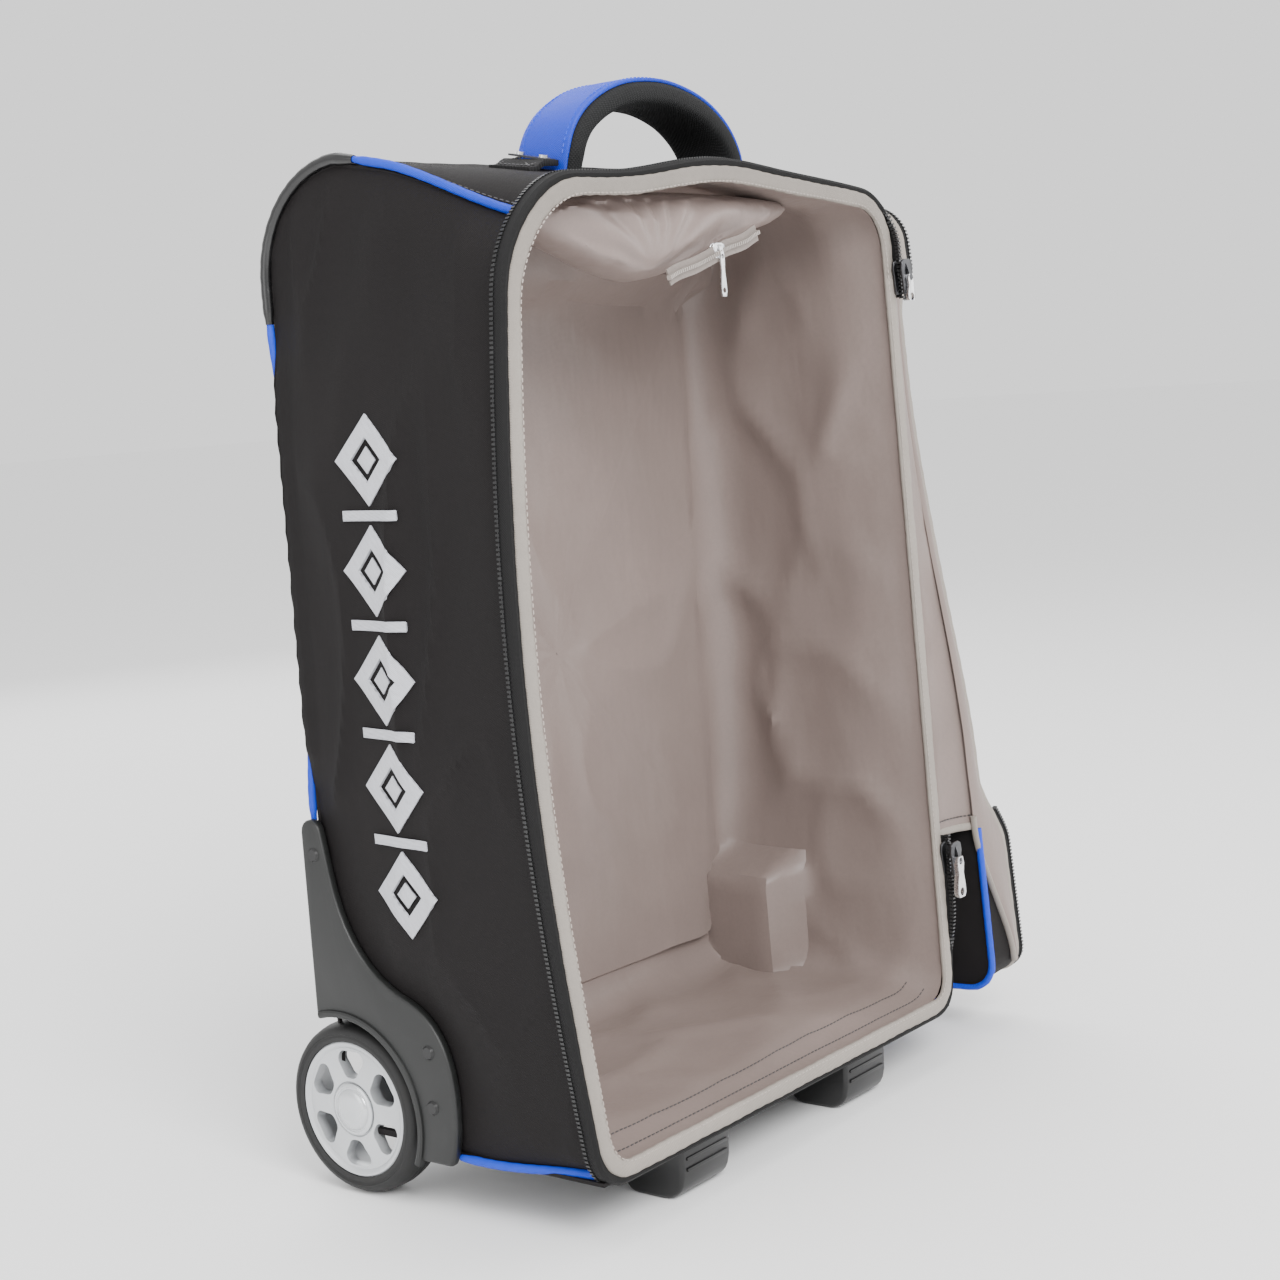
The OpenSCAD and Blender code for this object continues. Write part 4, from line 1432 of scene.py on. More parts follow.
    def back_face(self, x: float, z: float) -> Vector:
        """A point of the back's cloth.

        Args:
            x: Place across.
            z: Height.

        Returns:
            The point.
        """
        w, v = x / PANEL_HALF, (z - 35) / 459
        p = Vector((x, self.shape.back_y - 1.2, z))
        p.y += 3.5 * (1 - w * w) * math.sin(math.pi * v) + 1.1 * ripple(p, (50, 60, 150), seed=6.6)
        edge = min(PANEL_HALF - abs(x), z - 35, 494 - z)
        return p - Vector((0, 2.0 * math.exp(-edge / 5), 0))

    def back_and_bottom(self) -> None:
        """The cloth of the back and of the underside, cut out for the wheel wells."""
        shape = self.shape
        rows = [[self.back_face(lerp(-PANEL_HALF, PANEL_HALF, j / 64), lerp(35, 494, i / 86)) for j in range(65)]
                for i in range(87)]
        cut = shape.well_in - 0.4
        back = self.bench.grid("back_cloth", rows, thick=2.0, facing=Vector((0, 0, 250)),
                               keep=lambda p: not (abs(p.x) > cut and p.z < 103))
        self.bench.dress(back, "black_polyester", nodes=["back_panel"])
        rows = []
        for i in range(38):
            y = lerp(shape.front_bottom_y + 1, 86, i / 37)
            rows.append([Vector((x, y, shape.bottom_z + 0.2 + 0.4 * ripple(Vector((x, y, 0)), (40, 40, 40), seed=2)))
                         for x in (lerp(-PANEL_HALF, PANEL_HALF, j / 64) for j in range(65))])
        under = self.bench.grid("underside_cloth", rows, thick=2.0, facing=Vector((0, 0, 250)),
                                keep=lambda p: not (abs(p.x) > cut and p.y > 20))
        self.bench.dress(under, "black_polyester", nodes=["bottom_panel"])

    def seam(self, k: float, points: Sequence[tuple[float, float]], step: float = 3.0) -> list[Vector]:
        """Points of a side seam through (y, z), gathered in at the front and tucked back at the middle.

        Args:
            k: Side: -1 or 1.
            points: The seam as (y, z).
            step: Distance between the new points.

        Returns:
            The points.
        """
        path = resample([Vector((k * (self.shape.half_w - 1.2), y, z)) for y, z in points], step)
        out = []
        for p in path:
            tuck = self.wrap(p.z) if p.y > 80 else 0.0
            out.append(self.shape.gather(p) + Vector((-k * 4.4 * tuck, 1.0 * tuck, 0)))
        return out

    def cord(self, name: str, path: Sequence[Vector], r: float, finish: str, nodes: Sequence[str], slot: str) -> None:
        """A filled piping or bumper along a seam, thinner where it tucks in at its ends.

        Args:
            name: The object's name.
            path: The seam.
            r: Radius.
            finish: The finish's name.
            nodes: The nodes that it stands for.
            slot: The record's slot.
        """
        n = len(path)
        section = [(r * math.cos(2 * math.pi * i / 12), r * math.sin(2 * math.pi * i / 12)) for i in range(12)]

        def swell(i: int) -> float:
            """Slight puckers, and tapered ends."""
            end = min(i, n - 1 - i)
            return (1 + 0.035 * math.sin(i * 2.1)) * (0.7 + 0.3 * smooth(-0.5, 3, end))

        obj = self.bench.sweep(name, path, section, Vector((1, 0, 0)), swell=swell)
        self.bench.dress(obj, finish, nodes=nodes, slot=slot)

    def trims(self) -> None:
        """Piping along the seams and the bumpers round the top back corners."""
        shape = self.shape
        cy, cz = shape.corner
        for side in Side:
            k, word = side.value, side.word
            top = [(y, shape.top_z(y) + 0.4) for y in (-82, -72, -60, -50, -35, -20, 4, 16)]
            self.cord(f"{word}_top_piping", self.seam(k, top), self.pipe_r, "blue_piping", [f"{word}_piping"],
                      "blue_piping")
            self.cord(f"{word}_back_piping", self.seam(k, [(87.6, 478), (87.6, 300), (87.6, 208)]), self.pipe_r,
                      "blue_piping", [], "blue_piping")
            self.cord(f"{word}_under_piping", self.seam(k, [(-2, 33), (-50, 33), (-92, 33), (-97, 36)]), self.pipe_r,
                      "blue_piping", [], "blue_piping")
            corner = [(cy - 12, shape.top_z(cy - 12) + 0.2), *arc((cy, cz), 59.6, 88, 0, 16), (87.6, 474)]
            self.cord(f"{word}_corner_bumper", self.seam(k, corner), self.bumper_r, "bumper",
                      ["corner_bumpers"] if k < 0 else [], "black_plastic")

    def build(self) -> None:
        """Builds the whole shell."""
        for side in Side:
            self.side_panel(side)
        self.top_panel()
        self.back_and_bottom()
        self.trims()


@dataclass
class Emblem:
    """A column of embroidered diamonds and bars down the left side.

    Attributes:
        bench: The tools.
        shell: The shell it is sewn on.
        count: How many diamonds.
        low: Height of the lowest one's middle.
        high: Height of the highest one's middle.
        share: Where across the side the column runs.
        half: Half of a diamond's diagonal.
    """

    bench: Bench
    shell: Shell
    count: int = 5
    low: float = 175.0
    high: float = 401.0
    share: float = 0.57
    half: float = 23.5

    def middle(self, z: float) -> float:
        """Y of the column at a height.

        Args:
            z: Height.

        Returns:
            The y there.
        """
        shape = self.bench.shape
        u = (z - shape.bottom_z) / shape.front_h
        return lerp(shape.front_y(u), shape.back_y, self.share) + shape.hollow(u, self.share)

    def patch(self, name: str, y: float, z: float, spread: Callable[[float, float], tuple[float, float]],
              keep: Callable[[float, float], bool] | None = None, n: int = 16) -> bpy.types.Object:
        """A raised satin-stitched patch that follows the cloth.

        Args:
            name: The object's name.
            y: Middle of the patch.
            z: Middle of the patch.
            spread: Maps -1..1 twice to an offset along y and z.
            keep: Which of -1..1 twice is stitched.
            n: Steps each way.

        Returns:
            The object.
        """
        rows = []
        for i in range(n + 1):
            row = []
            for j in range(n + 1):
                a, b = 2 * i / n - 1, 2 * j / n - 1
                dy, dz = spread(a, b)
                p = self.shell.side_at(Side.LEFT, y + dy, z + dz)
                edge = min(1 - abs(a), 1 - abs(b))
                p.x -= 1.1 + 0.75 * smooth(-0.05, 0.25, edge)
                row.append(p)
            rows.append(row)

        def stays(mid: Vector) -> bool:
            """Whether the face round this middle is stitched."""
            if keep is None:
                return True
            return keep((mid.y - y) / self.half, (mid.z - z) / self.half)

        return self.bench.grid(name, rows, thick=1.5, facing=Vector((0, y, z)), keep=stays)

    def build(self) -> None:
        """Builds the diamonds, their inner diamonds and the bars between them."""
        h, parts = self.half, []
        for i in range(self.count):
            z = lerp(self.low, self.high, i / (self.count - 1))
            y = self.middle(z)
            parts.append(self.patch(
                f"diamond_{i}", y, z, lambda a, b: ((a + b) / 2 * h, (a - b) / 2 * h),
                lambda dy, dz: abs(dy) + abs(dz) > 0.5, n=20))
            parts.append(self.patch(
                f"pip_{i}", y, z, lambda a, b: ((a + b) / 2 * h * 0.3, (a - b) / 2 * h * 0.3), None, n=6))
            if i:
                zb = z - (self.high - self.low) / (self.count - 1) / 2
                parts.append(self.patch(f"bar_{i}", self.middle(zb), zb, lambda a, b: (a * 21.0, b * 2.7), None,
                                        n=10))
        emblem = self.bench.join("side_embroidery", parts)
        self.bench.dress(emblem, "embroidery", nodes=["side_emblem"])


@dataclass
class Opening:
    """The binding round the opening and the shell's half of the main zip.

    Attributes:
        bench: The tools.
        half: Half of the binding's width.
        thick: Its thickness.
    """

    bench: Bench
    half: float = 4.5
    thick: float = 4.2

    def zip_run(self, step: float) -> list[Vector]:
        """The zip's seam from the hinge's lower end round to its upper end.

        Args:
            step: Distance between points.

        Returns:
            The points.
        """
        shape = self.bench.shape
        flat = shape.rim_flat(0)
        low, high = shape.hinge_low_z - shape.bottom_z, shape.hinge_high_z - shape.bottom_z
        first = next(i for i, p in enumerate(flat) if p[1] < low)
        flat = [(shape.half_w, low), *flat[first:], (shape.half_w, high + 14), (shape.half_w, high)]
        return soften(resample([shape.opening(x, h) for x, h in flat], step), rounds=2)

    def binding(self) -> None:
        """The rounded tape round the whole opening, with its stitching."""
        shape = self.bench.shape
        path = shape.rim(4.6, 3.0)
        section = []
        for i in range(16):
            a = 2 * math.pi * i / 16
            c, s = math.cos(a), math.sin(a)
            section.append((-0.6 + self.half * math.copysign(abs(c) ** 0.8, c),
                            1.5 + self.thick / 2 * math.copysign(abs(s) ** 0.9, s)))
        tape = self.bench.sweep("opening_tape", path, section, FORWARD, closed=True,
                                swell=lambda i: 1 + 0.035 * math.sin(i * 1.9) + 0.03 * math.sin(i * 0.37))
        self.bench.dress(tape, "binding", nodes=["opening_binding"])
        for name, inset, forward in (("binding_topstitch", 8.2, 3.2),):
            row = self.bench.stitches(name, shape.rim(inset, 3.4, forward), FORWARD, pitch=3.4, length=2.4, lift=0.1,
                                      closed=True)
            self.bench.dress(row, "taupe_thread", slot="binding")

    def zip_half(self) -> None:
        """The tape and its teeth: laid back along the side, and standing forward near the sliders."""
        path = self.zip_run(3.0)
        n = len(path)
        back = [(-2.6, 0.4), (0.6, 1.1), (1.6, 0.1), (1.7, -2.4), (1.8, -5.2)]
        ahead = [(-1.6, 0.6), (-0.6, 2.4), (-0.5, 4.0), (-0.4, 5.6), (-0.4, 6.6)]
        rows, edge, normals = [], [], []
        for i, p in enumerate(path):
            along = (path[min(i + 1, n - 1)] - path[max(i - 1, 0)]).normalized()
            out = FORWARD.cross(along).normalized()
            lean = smooth(14, 34, i) * smooth(10, 26, n - 1 - i)
            row = [p + out * lerp(f[0], b[0], lean) + FORWARD * lerp(f[1], b[1], lean)
                   for f, b in zip(ahead, back)]
            rows.append(row)
            edge.append(row[-1])
            normals.append((row[-1] - row[-2]).normalized())
        tape = self.bench.grid("shell_zip_tape", rows, thick=0.9)
        self.bench.outward(tape)
        self.bench.dress(tape, "zip_tape", nodes=["body_zip_tape"])
        teeth = self.bench.teeth("shell_zip_teeth", edge, lambda i: normals[i], pitch=2.3, width=3.4)
        self.bench.dress(teeth, "zip_teeth", nodes=["body_zip_teeth"], angle=30)

    def build(self) -> None:
        """Builds binding and zip."""
        self.binding()
        self.zip_half()


# ---------------------------------------------------------------- inside


@dataclass
class Interior:
    """The lining of the main room and the pocket under its top.

    Attributes:
        bench: The tools.
        wall_y: Where the lining's back wall lies.
        high_wall_y: Where it lies above the telescopic handle's cup.
        bend: Radius of the bend between the walls and the back.
        swell_cap: How far the pocket may swell.
    """

    bench: Bench
    wall_y: float = 60.0
    high_wall_y: float = 40.0
    bend: float = 24.0
    swell_cap: float = 5.0

    def settle(self, p: Vector, depth: float) -> Vector:
        """Moves a point of the lining clear of the wheel wells and of the cup, and gives it folds.

        Args:
            p: The point.
            depth: How deep in the bag it lies.

        Returns:
            The settled point.
        """
        shape = self.bench.shape
        high = smooth(478, 496, p.z)
        p.y = min(p.y, lerp(self.wall_y, self.high_wall_y, high) - 1)
        inward = Vector((-p.x / 150, (0 if depth < 150 else -1), -(p.z - 280) / 240))
        inward = inward.normalized() if inward.length > 0.2 else Vector((0, -1, 0))
        fold = 3.4 * (1 + ripple(p, (70, 80, 150), seed=1.7)) * 0.5 + 5.5 * crease(p, (110, 85, 120), seed=6.1)
        fold += 3.0 * crease(Vector((p.x + 0.6 * p.z, p.y, p.z)), (90, 60, 75), seed=12.3)
        p = p + inward * (fold * smooth(2, 45, depth))
        top, front = shape.wheel_r + shape.well_r + 5, shape.axle_y - shape.well_r - 5
        over_well = smooth(front - 30, front, p.y) * smooth(top + 30, top, p.z)
        room = lerp(190, shape.well_in - 5, over_well)
        return Vector((math.copysign(min(abs(p.x), room), p.x), p.y, p.z))

    def lining(self) -> None:
        """One cloth from the binding back round the walls and over the back wall."""
        shape = self.bench.shape
        front = shape.rim(7.5, 7.0, -0.5)
        centre = Vector((0, 0, 275))
        rows = []
        depths = [0, 2, 5, 9] + [14 + 6.0 * i for i in range(20)]
        for d in depths:
            row = []
            for p in front:
                reach = self.wall_y - self.bend - p.y
                share = min(1.0, d / depths[-1])
                y = p.y + share * reach
                rise = smooth(0.75, 1.0, (p.z - 33) / 496) * 17 * min(1.0, (y + 83) / 111)
                drop = 6.0 * smooth(0, 30, d)
                low = smooth(0.12, 0.0, (p.z - 33) / 496)
                q = Vector((p.x * (1 - 0.008 * smooth(0, 20, d)), y, p.z + rise + drop * low))
                row.append(self.settle(q, d))
            rows.append(row)
        last = [Vector((p.x * 0.992, self.wall_y - self.bend, p.z)) for p in front]
        for i in range(1, 6):
            a = math.pi / 2 * i / 5
            inset, ahead = self.bend * (1 - math.cos(a)), self.bend * math.sin(a)
            row = []
            for p in last:
                away = Vector((p.x, 0, p.z - centre.z))
                rise = smooth(0.75, 1.0, (p.z - 33) / 496) * 8
                q = p - away.normalized() * inset + Vector((0, ahead, rise + 6.0 * smooth(0.12, 0, (p.z - 33) / 496)))
                row.append(self.settle(q, 130 + i))
            rows.append(row)
        edge = [p - Vector((p.x, 0, p.z - centre.z)).normalized() * self.bend for p in last]
        for i in range(1, 27):
            share = max(0.002, 1 - i / 26)
            row = []
            for p in edge:
                q = Vector((p.x * share, self.wall_y, centre.z + (p.z - centre.z) * share))
                row.append(self.settle(q, depth=160))
            rows.append(row)
        cloth = self.bench.grid("main_lining_cloth", rows, around=True)
        self.bench.edit(cloth, lambda: bpy.ops.mesh.dissolve_degenerate(threshold=2e-6))
        self.look_at(cloth, MIDST)
        self.bench.apply(cloth, "SOLIDIFY", thickness=0.8 * MM, offset=-1.0)
        self.bench.dress(cloth, "lining", nodes=["main_lining"])
        self.seams(rows)

    def look_at(self, obj: bpy.types.Object, point: Vector) -> None:
        """Turns an open cloth's faces toward a point."""
        target = self.bench.shape.at(point)
        if sum((target - f.center).normalized().dot(f.normal) * f.area for f in obj.data.polygons) < 0:
            obj.data.flip_normals()

    def seams(self, rows: Sequence[Sequence[Vector]]) -> None:
        """Two rows of dark stitches just inside the opening along its foot.

        Args:
            rows: The lining's rows from the opening inward.
        """
        for k, row in enumerate((rows[3], rows[5])):
            path = sorted((p for p in row if p.z < 62 and abs(p.x) < 158), key=lambda p: p.x)
            obj = self.bench.stitches(f"lining_stitch_{k}", path, lambda i, q=path: (MIDST - q[i]), pitch=3.6,
                                      length=2.6, lift=0.35)
            self.bench.dress(obj, "dark_thread", slot="lining")

    def pocket_edge(self, x: float) -> float:
        """Height of the pocket's lower edge at x.

        Args:
            x: Place across.

        Returns:
            The height.
        """
        points = [(-152, 521), (-130, 511), (-100, 499), (-70, 489), (-45, 483.5), (-30, 485), (46, 507), (80, 514),
                  (112, 523)]
        for (x0, z0), (x1, z1) in zip(points, points[1:]):
            if x <= x1:
                t = (x - x0) / (x1 - x0)
                return lerp(z0, z1, t * t * (3 - 2 * t) * 0.4 + t * 0.6)
        return points[-1][1]

    def pocket(self) -> None:
        """The slack pocket under the top: a closed pouch, swollen, then folded."""
        rows = []
        for i in range(45):
            x = lerp(-150, 110, i / 44)
            low = self.pocket_edge(x)
            top = 523 + 8 * (1 - (x / 170) ** 2)
            ends = math.sin(math.pi * min(1.0, max(0.0, i / 44))) ** 0.35 if 0 < i < 44 else 0.05
            row = []
            for j in range(26):
                a = 2 * math.pi * j / 26
                c, s = math.cos(a), math.sin(a)
                y = -72 + 20 * (1 - math.copysign(abs(c) ** 0.7, c) * ends)
                z = lerp(low, top, 0.5 + 0.5 * math.copysign(abs(s) ** 0.75, s))
                row.append(Vector((x, y, z)))
            rows.append(row)
        pouch = self.bench.grid("top_pocket_pouch", rows, around=True)
        self.bench.pick(pouch)
        self.bench.edit(pouch, lambda: bpy.ops.mesh.select_all(action="DESELECT"),
                        lambda: bpy.ops.mesh.select_non_manifold(extend=False),
                        lambda: bpy.ops.mesh.fill_holes(sides=0))
        self.bench.outward(pouch)
        pouch = swell(self.bench, pouch, 0.004, 3.0, self.swell_cap)
        origin = self.bench.shape.origin
        low = Vector((-38, -72, 488))
        for v in pouch.data.vertices:
            p = (v.co - origin) / MM
            away = p - low
            spin = math.atan2(away.z, away.x)
            fan = math.sin(spin * 15 + 1.6 * ripple(p, (60, 60, 60), seed=3.3))
            size = 1.7 * smooth(6, 40, away.length) * smooth(110, 50, away.length)
            drape = 1.6 * ripple(p, (34, 60, 22), seed=7.9) + 1.8 * crease(p, (60, 60, 24), seed=2.2)
            if p.y < -66:
                p.y -= fan * size + drape
            seam = abs((p.z - 484) - (p.x + 40) * 0.279)
            p.y = max(p.y, lerp(-75.0, -84.0, smooth(5, 22, seam)) if p.x > -52 else -84.0)
            v.co = origin + p * MM
        self.bench.dress(pouch, "pocket_lining", nodes=["top_pocket"], slot="lining", angle=60)

    def pocket_zip(self) -> None:
        """The pocket's zip along its slanting edge."""
        a, b = Vector((-40, -77.5, 484)), Vector((46, -76.5, 508))
        path = [a.lerp(b, i / 30) + Vector((0, 0.6 * math.sin(i * 0.7), 0.5 * math.sin(i * 0.45))) for i in range(31)]
        section = [(-4.5, -0.4), (4.5, -0.4), (4.5, 0.4), (-4.5, 0.4)]
        tape = self.bench.sweep("pocket_zip_tape", path, section, FORWARD)
        self.bench.dress(tape, "taupe_tape", nodes=["pocket_zip"], slot="binding")
        teeth = self.bench.teeth("pocket_zip_teeth", [p + Vector((0, -0.9, 0)) for p in path], FORWARD, pitch=1.7,
                                 width=2.6)
        self.bench.dress(teeth, "taupe_teeth", slot="binding", angle=30)

    def build(self) -> None:
        """Builds lining, pocket and pocket zip."""
        self.lining()
        self.pocket()
        self.pocket_zip()


def swell(bench: Bench, obj: bpy.types.Object, voxel: float, pressure: float, cap: float) -> bpy.types.Object:
    """Blows a closed cloth form up by simulation, then caps how far its points moved.

    Args:
        bench: The tools.
        obj: The closed form.
        voxel: Size of the remesh, in metres.
        pressure: The cloth's pressure.
        cap: Longest move allowed, in millimetres.

    Returns:
        The same object, smoothed.
    """
    bench.apply(obj, "REMESH", mode="VOXEL", voxel_size=voxel)
    scene = bpy.context.scene
    bench.pick(obj)
    rest = np.array([v.co for v in obj.data.vertices])
    modifier = obj.modifiers.new("cloth", "CLOTH")
    settings = modifier.settings
    settings.use_pressure = True
    settings.uniform_pressure_force = pressure
    settings.quality = 5
    settings.mass = 0.25
    settings.tension_stiffness = settings.compression_stiffness = 12
    settings.bending_stiffness = 0.4
    settings.effector_weights.gravity = 0
    for frame in range(1, 16):
        scene.frame_set(frame)
    seen = obj.evaluated_get(bpy.context.evaluated_depsgraph_get()).to_mesh()
    moved = np.array([v.co for v in seen.vertices]) - rest
    obj.modifiers.remove(modifier)
    far = np.linalg.norm(moved, axis=1, keepdims=True)
    moved *= np.minimum(1, cap * MM / np.maximum(far, 1e-9))
    for vertex, place in zip(obj.data.vertices, rest + moved):
        vertex.co = place
    scene.frame_set(1)
    bench.apply(obj, "SMOOTH", factor=0.6, iterations=4)
    bench.apply(obj, "SUBSURF", levels=1, render_levels=1)
    return obj


# ---------------------------------------------------------------- wheels, guards and feet


@dataclass
class WheelCorner:
    """One wheel with its rim, cap, guard and the lip round the guard's arch.

    Attributes:
        bench: The tools.
        side: Which side of the bag.
        width: Width of the wheel.
        guard_t: Thickness of the guard.
        spokes: How many windows and spokes the rim has.
    """

    bench: Bench
    side: Side
    width: float = 26.0
    guard_t: float = 6.0
    spokes: int = 6

    @property
    def axis(self) -> Vector:
        """Outward direction of the axle."""
        return Vector((self.side.value, 0, 0))

    def hub(self, along: float) -> Vector:
        """The axle's point at a distance outward of the wheel's inner face.

        Args:
            along: The distance.

        Returns:
            The point.
        """
        shape = self.bench.shape
        inner = shape.half_w + 2 - self.width
        return Vector((self.side.value * (inner + along), shape.axle_y, shape.wheel_r))

    def tyre(self) -> None:
        """Rubber tyre with rounded shoulders, a side ridge and three fine grooves."""
        profile = [(37.9, 1.0), (40.6, 0.5), (43.2, 0.3), (45.3, 1.6), (46.7, 4.0), (47.5, 7.0), (47.9, 9.2),
                   (47.9, 10.6), (47.3, 10.9), (47.3, 11.5), (47.9, 11.8), (48.0, 12.6), (48.0, 13.4), (47.9, 14.2),
                   (47.3, 14.5), (47.3, 15.1), (47.9, 15.4), (47.9, 16.8), (47.5, 19.0), (46.7, 22.0), (45.3, 24.4),
                   (43.4, 25.7), (42.3, 25.9), (41.9, 25.3), (41.2, 25.1), (40.6, 25.5), (39.8, 25.6), (37.9, 25.0)]
        name = self.side.word
        tyre = self.bench.turned(f"{name}_wheel_tyre", profile, self.hub(0), self.axis, steps=96)
        self.bench.dress(tyre, "tyre", f"{name}_wheel", [f"{name}_tyre"], angle=50)

    def window(self) -> list[tuple[float, float]]:
        """Outline of one rounded window between two spokes."""
        r = 4.9
        out = arc((22.3, 1.0), r, 110, 180, 5) + arc((22.3, -1.0), r, 180, 250, 5)
        return out + arc((27.4, -4.5), r, 250, 352, 8) + arc((27.4, 4.5), r, 8, 110, 8)

    def rim(self) -> None:
        """Silver rim with six rounded windows through its dished face."""
        profile = [(6.5, 1.2), (14, 1.2), (14, 17.0), (34.4, 17.0), (34.4, 1.6), (37.8, 1.6), (37.8, 24.3),
                   (37.0, 25.0), (35.6, 24.9), (34.6, 24.0), (33.8, 23.3), (28.0, 23.8), (21.0, 24.3), (15.6, 24.5),
                   (15.0, 23.6), (6.5, 23.6)]
        name = self.side.word
        rim = self.bench.turned(f"{name}_wheel_rim", profile, self.hub(0), self.axis, steps=72)
        tools = []
        for i in range(self.spokes):
            a = math.radians(60 * i + 30)
            start = self.hub(-4)
            outline = [start + Vector((0, x * math.cos(a) - y * math.sin(a), x * math.sin(a) + y * math.cos(a)))
                       for x, y in self.window()]
            tools.append(self.bench.plate(f"window_{i}", outline, self.axis * 40))
        self.bench.cut(rim, self.bench.join("windows", tools))
        self.bench.bevel(rim, width=0.7, segments=2, angle=50)
        self.bench.dress(rim, "wheel_silver", f"{name}_wheel", [f"{name}_rim"])

    def cap(self) -> None:
        """Domed hub cap with a stepped edge."""
        profile = [(0.0, 0.0), (14.4, 0.0), (14.4, 0.9), (13.7, 1.5), (12.6, 1.6), (12.2, 1.2), (11.6, 1.2),
                   (11.2, 1.9), (10.2, 2.6), (7.0, 3.1), (3.5, 3.35), (0.0, 3.45)]
        name = self.side.word
        cap = self.bench.turned(f"{name}_hub_cap", profile, self.hub(self.width - 1.95), self.axis, steps=56)
        self.bench.dress(cap, "cap_silver", f"{name}_wheel", [f"{name}_cap"])

    def guard(self) -> None:
        """Moulded guard plate with rounded edges and a lip round the arch."""
        shape, k = self.bench.shape, self.side.value
        base = shape.half_w - 1
        outline = [Vector((k * base, y, z)) for y, z in shape.guard_outline()]
        plate = self.bench.plate("guard_plate", outline, self.axis * self.guard_t)
        self.bench.bevel(plate, width=1.9, segments=3, angle=40)
        mid = (shape.axle_y, shape.wheel_r)
        lip_path = [Vector((k * (base + self.guard_t - 0.6), y, z))
                    for y, z in arc(mid, shape.arch_r + 2.2, 203, 74, 44)]
        lip = self.bench.sweep("guard_lip", lip_path, [(-2.2, -1.0), (-1.7, 1.5), (-0.7, 2.2), (0.9, 2.2), (1.9, 1.4),
                                                      (2.4, -1.0)], self.axis)
        guard = self.bench.join(f"{self.side.word}_guard_moulding", [plate, lip])
        self.bench.dress(guard, "guard_plastic", nodes=[f"{self.side.word}_wheel_guard"], angle=35)

    def build(self) -> None:
        """Builds the corner and finishes the well, axle, bearings that stay as they are."""
        self.tyre()
        self.rim()
        self.cap()
        self.guard()
        self.bench.repaint(f"{self.side.word}_wheel_well", "black_plastic")
        self.bench.repaint(f"{self.side.word}_axle", "axle_steel")
        self.bench.repaint(f"{self.side.word}_bearings", "axle_steel")


@dataclass
class Feet:
    """The two moulded feet under the front edge.

    Attributes:
        bench: The tools.
        x: How far each foot's middle is from the bag's middle.
        half: Half of a foot's width.
    """

    bench: Bench
    x: float = 80.0
    half: float = 22.0

    def foot(self, side: Side) -> None:
        """One foot: a curved block with grooves in its sole and counterbores for its screws.

        Args:
            side: Which side.
        """
        k = side.value
        outline = [(-94, 32.6), (-93.4, 14)] + bezier((-93, 12), (-91, 0), (-78, 0), 6) + [(-62, 0)]
        outline += bezier((-62, 0), (-54, 0), (-51, 12), 6) + [(-48, 32.6)]
        start = k * self.x - self.half
        foot = self.bench.plate(f"{side.word}_front_foot", [Vector((start, y, z)) for y, z in outline],
                                Vector((2 * self.half, 0, 0)))
        self.bench.bevel(foot, width=2.6, segments=3, angle=32)
        tools = []
        for dx in (-12, 12):
            x = k * self.x + dx
            tools.append(self.bench.block("groove", (x - 1.2, -100, -2), (x + 1.2, -40, 1.6), round_by=0))
        for y in (-80, -64):
            self.bench.pick_none()
            bpy.ops.mesh.primitive_cylinder_add(vertices=28, radius=4.6 * MM, depth=24 * MM)
            bore = bpy.context.active_object
            for v in bore.data.vertices:
                v.co += self.bench.shape.at(Vector((k * self.x, y, -1)))
            tools.append(bore)
        self.bench.cut(foot, *tools)
        for z in (17, 23, 29):
            rib = self.bench.block("foot_rib", (start + 4, -94.6, z - 1), (start + 2 * self.half - 4, -92.6, z + 1),
                                   round_by=0.5, segments=2)
            foot = self.bench.join(f"{side.word}_front_foot", [foot, rib])
        self.bench.dress(foot, "black_plastic", nodes=[f"{side.word}_foot"], angle=35)

    def build(self) -> None:
        """Builds both feet and finishes their screws."""
        for side in Side:
            self.foot(side)
        self.bench.repaint("foot_screws", "zinc")


# ---------------------------------------------------------------- handles


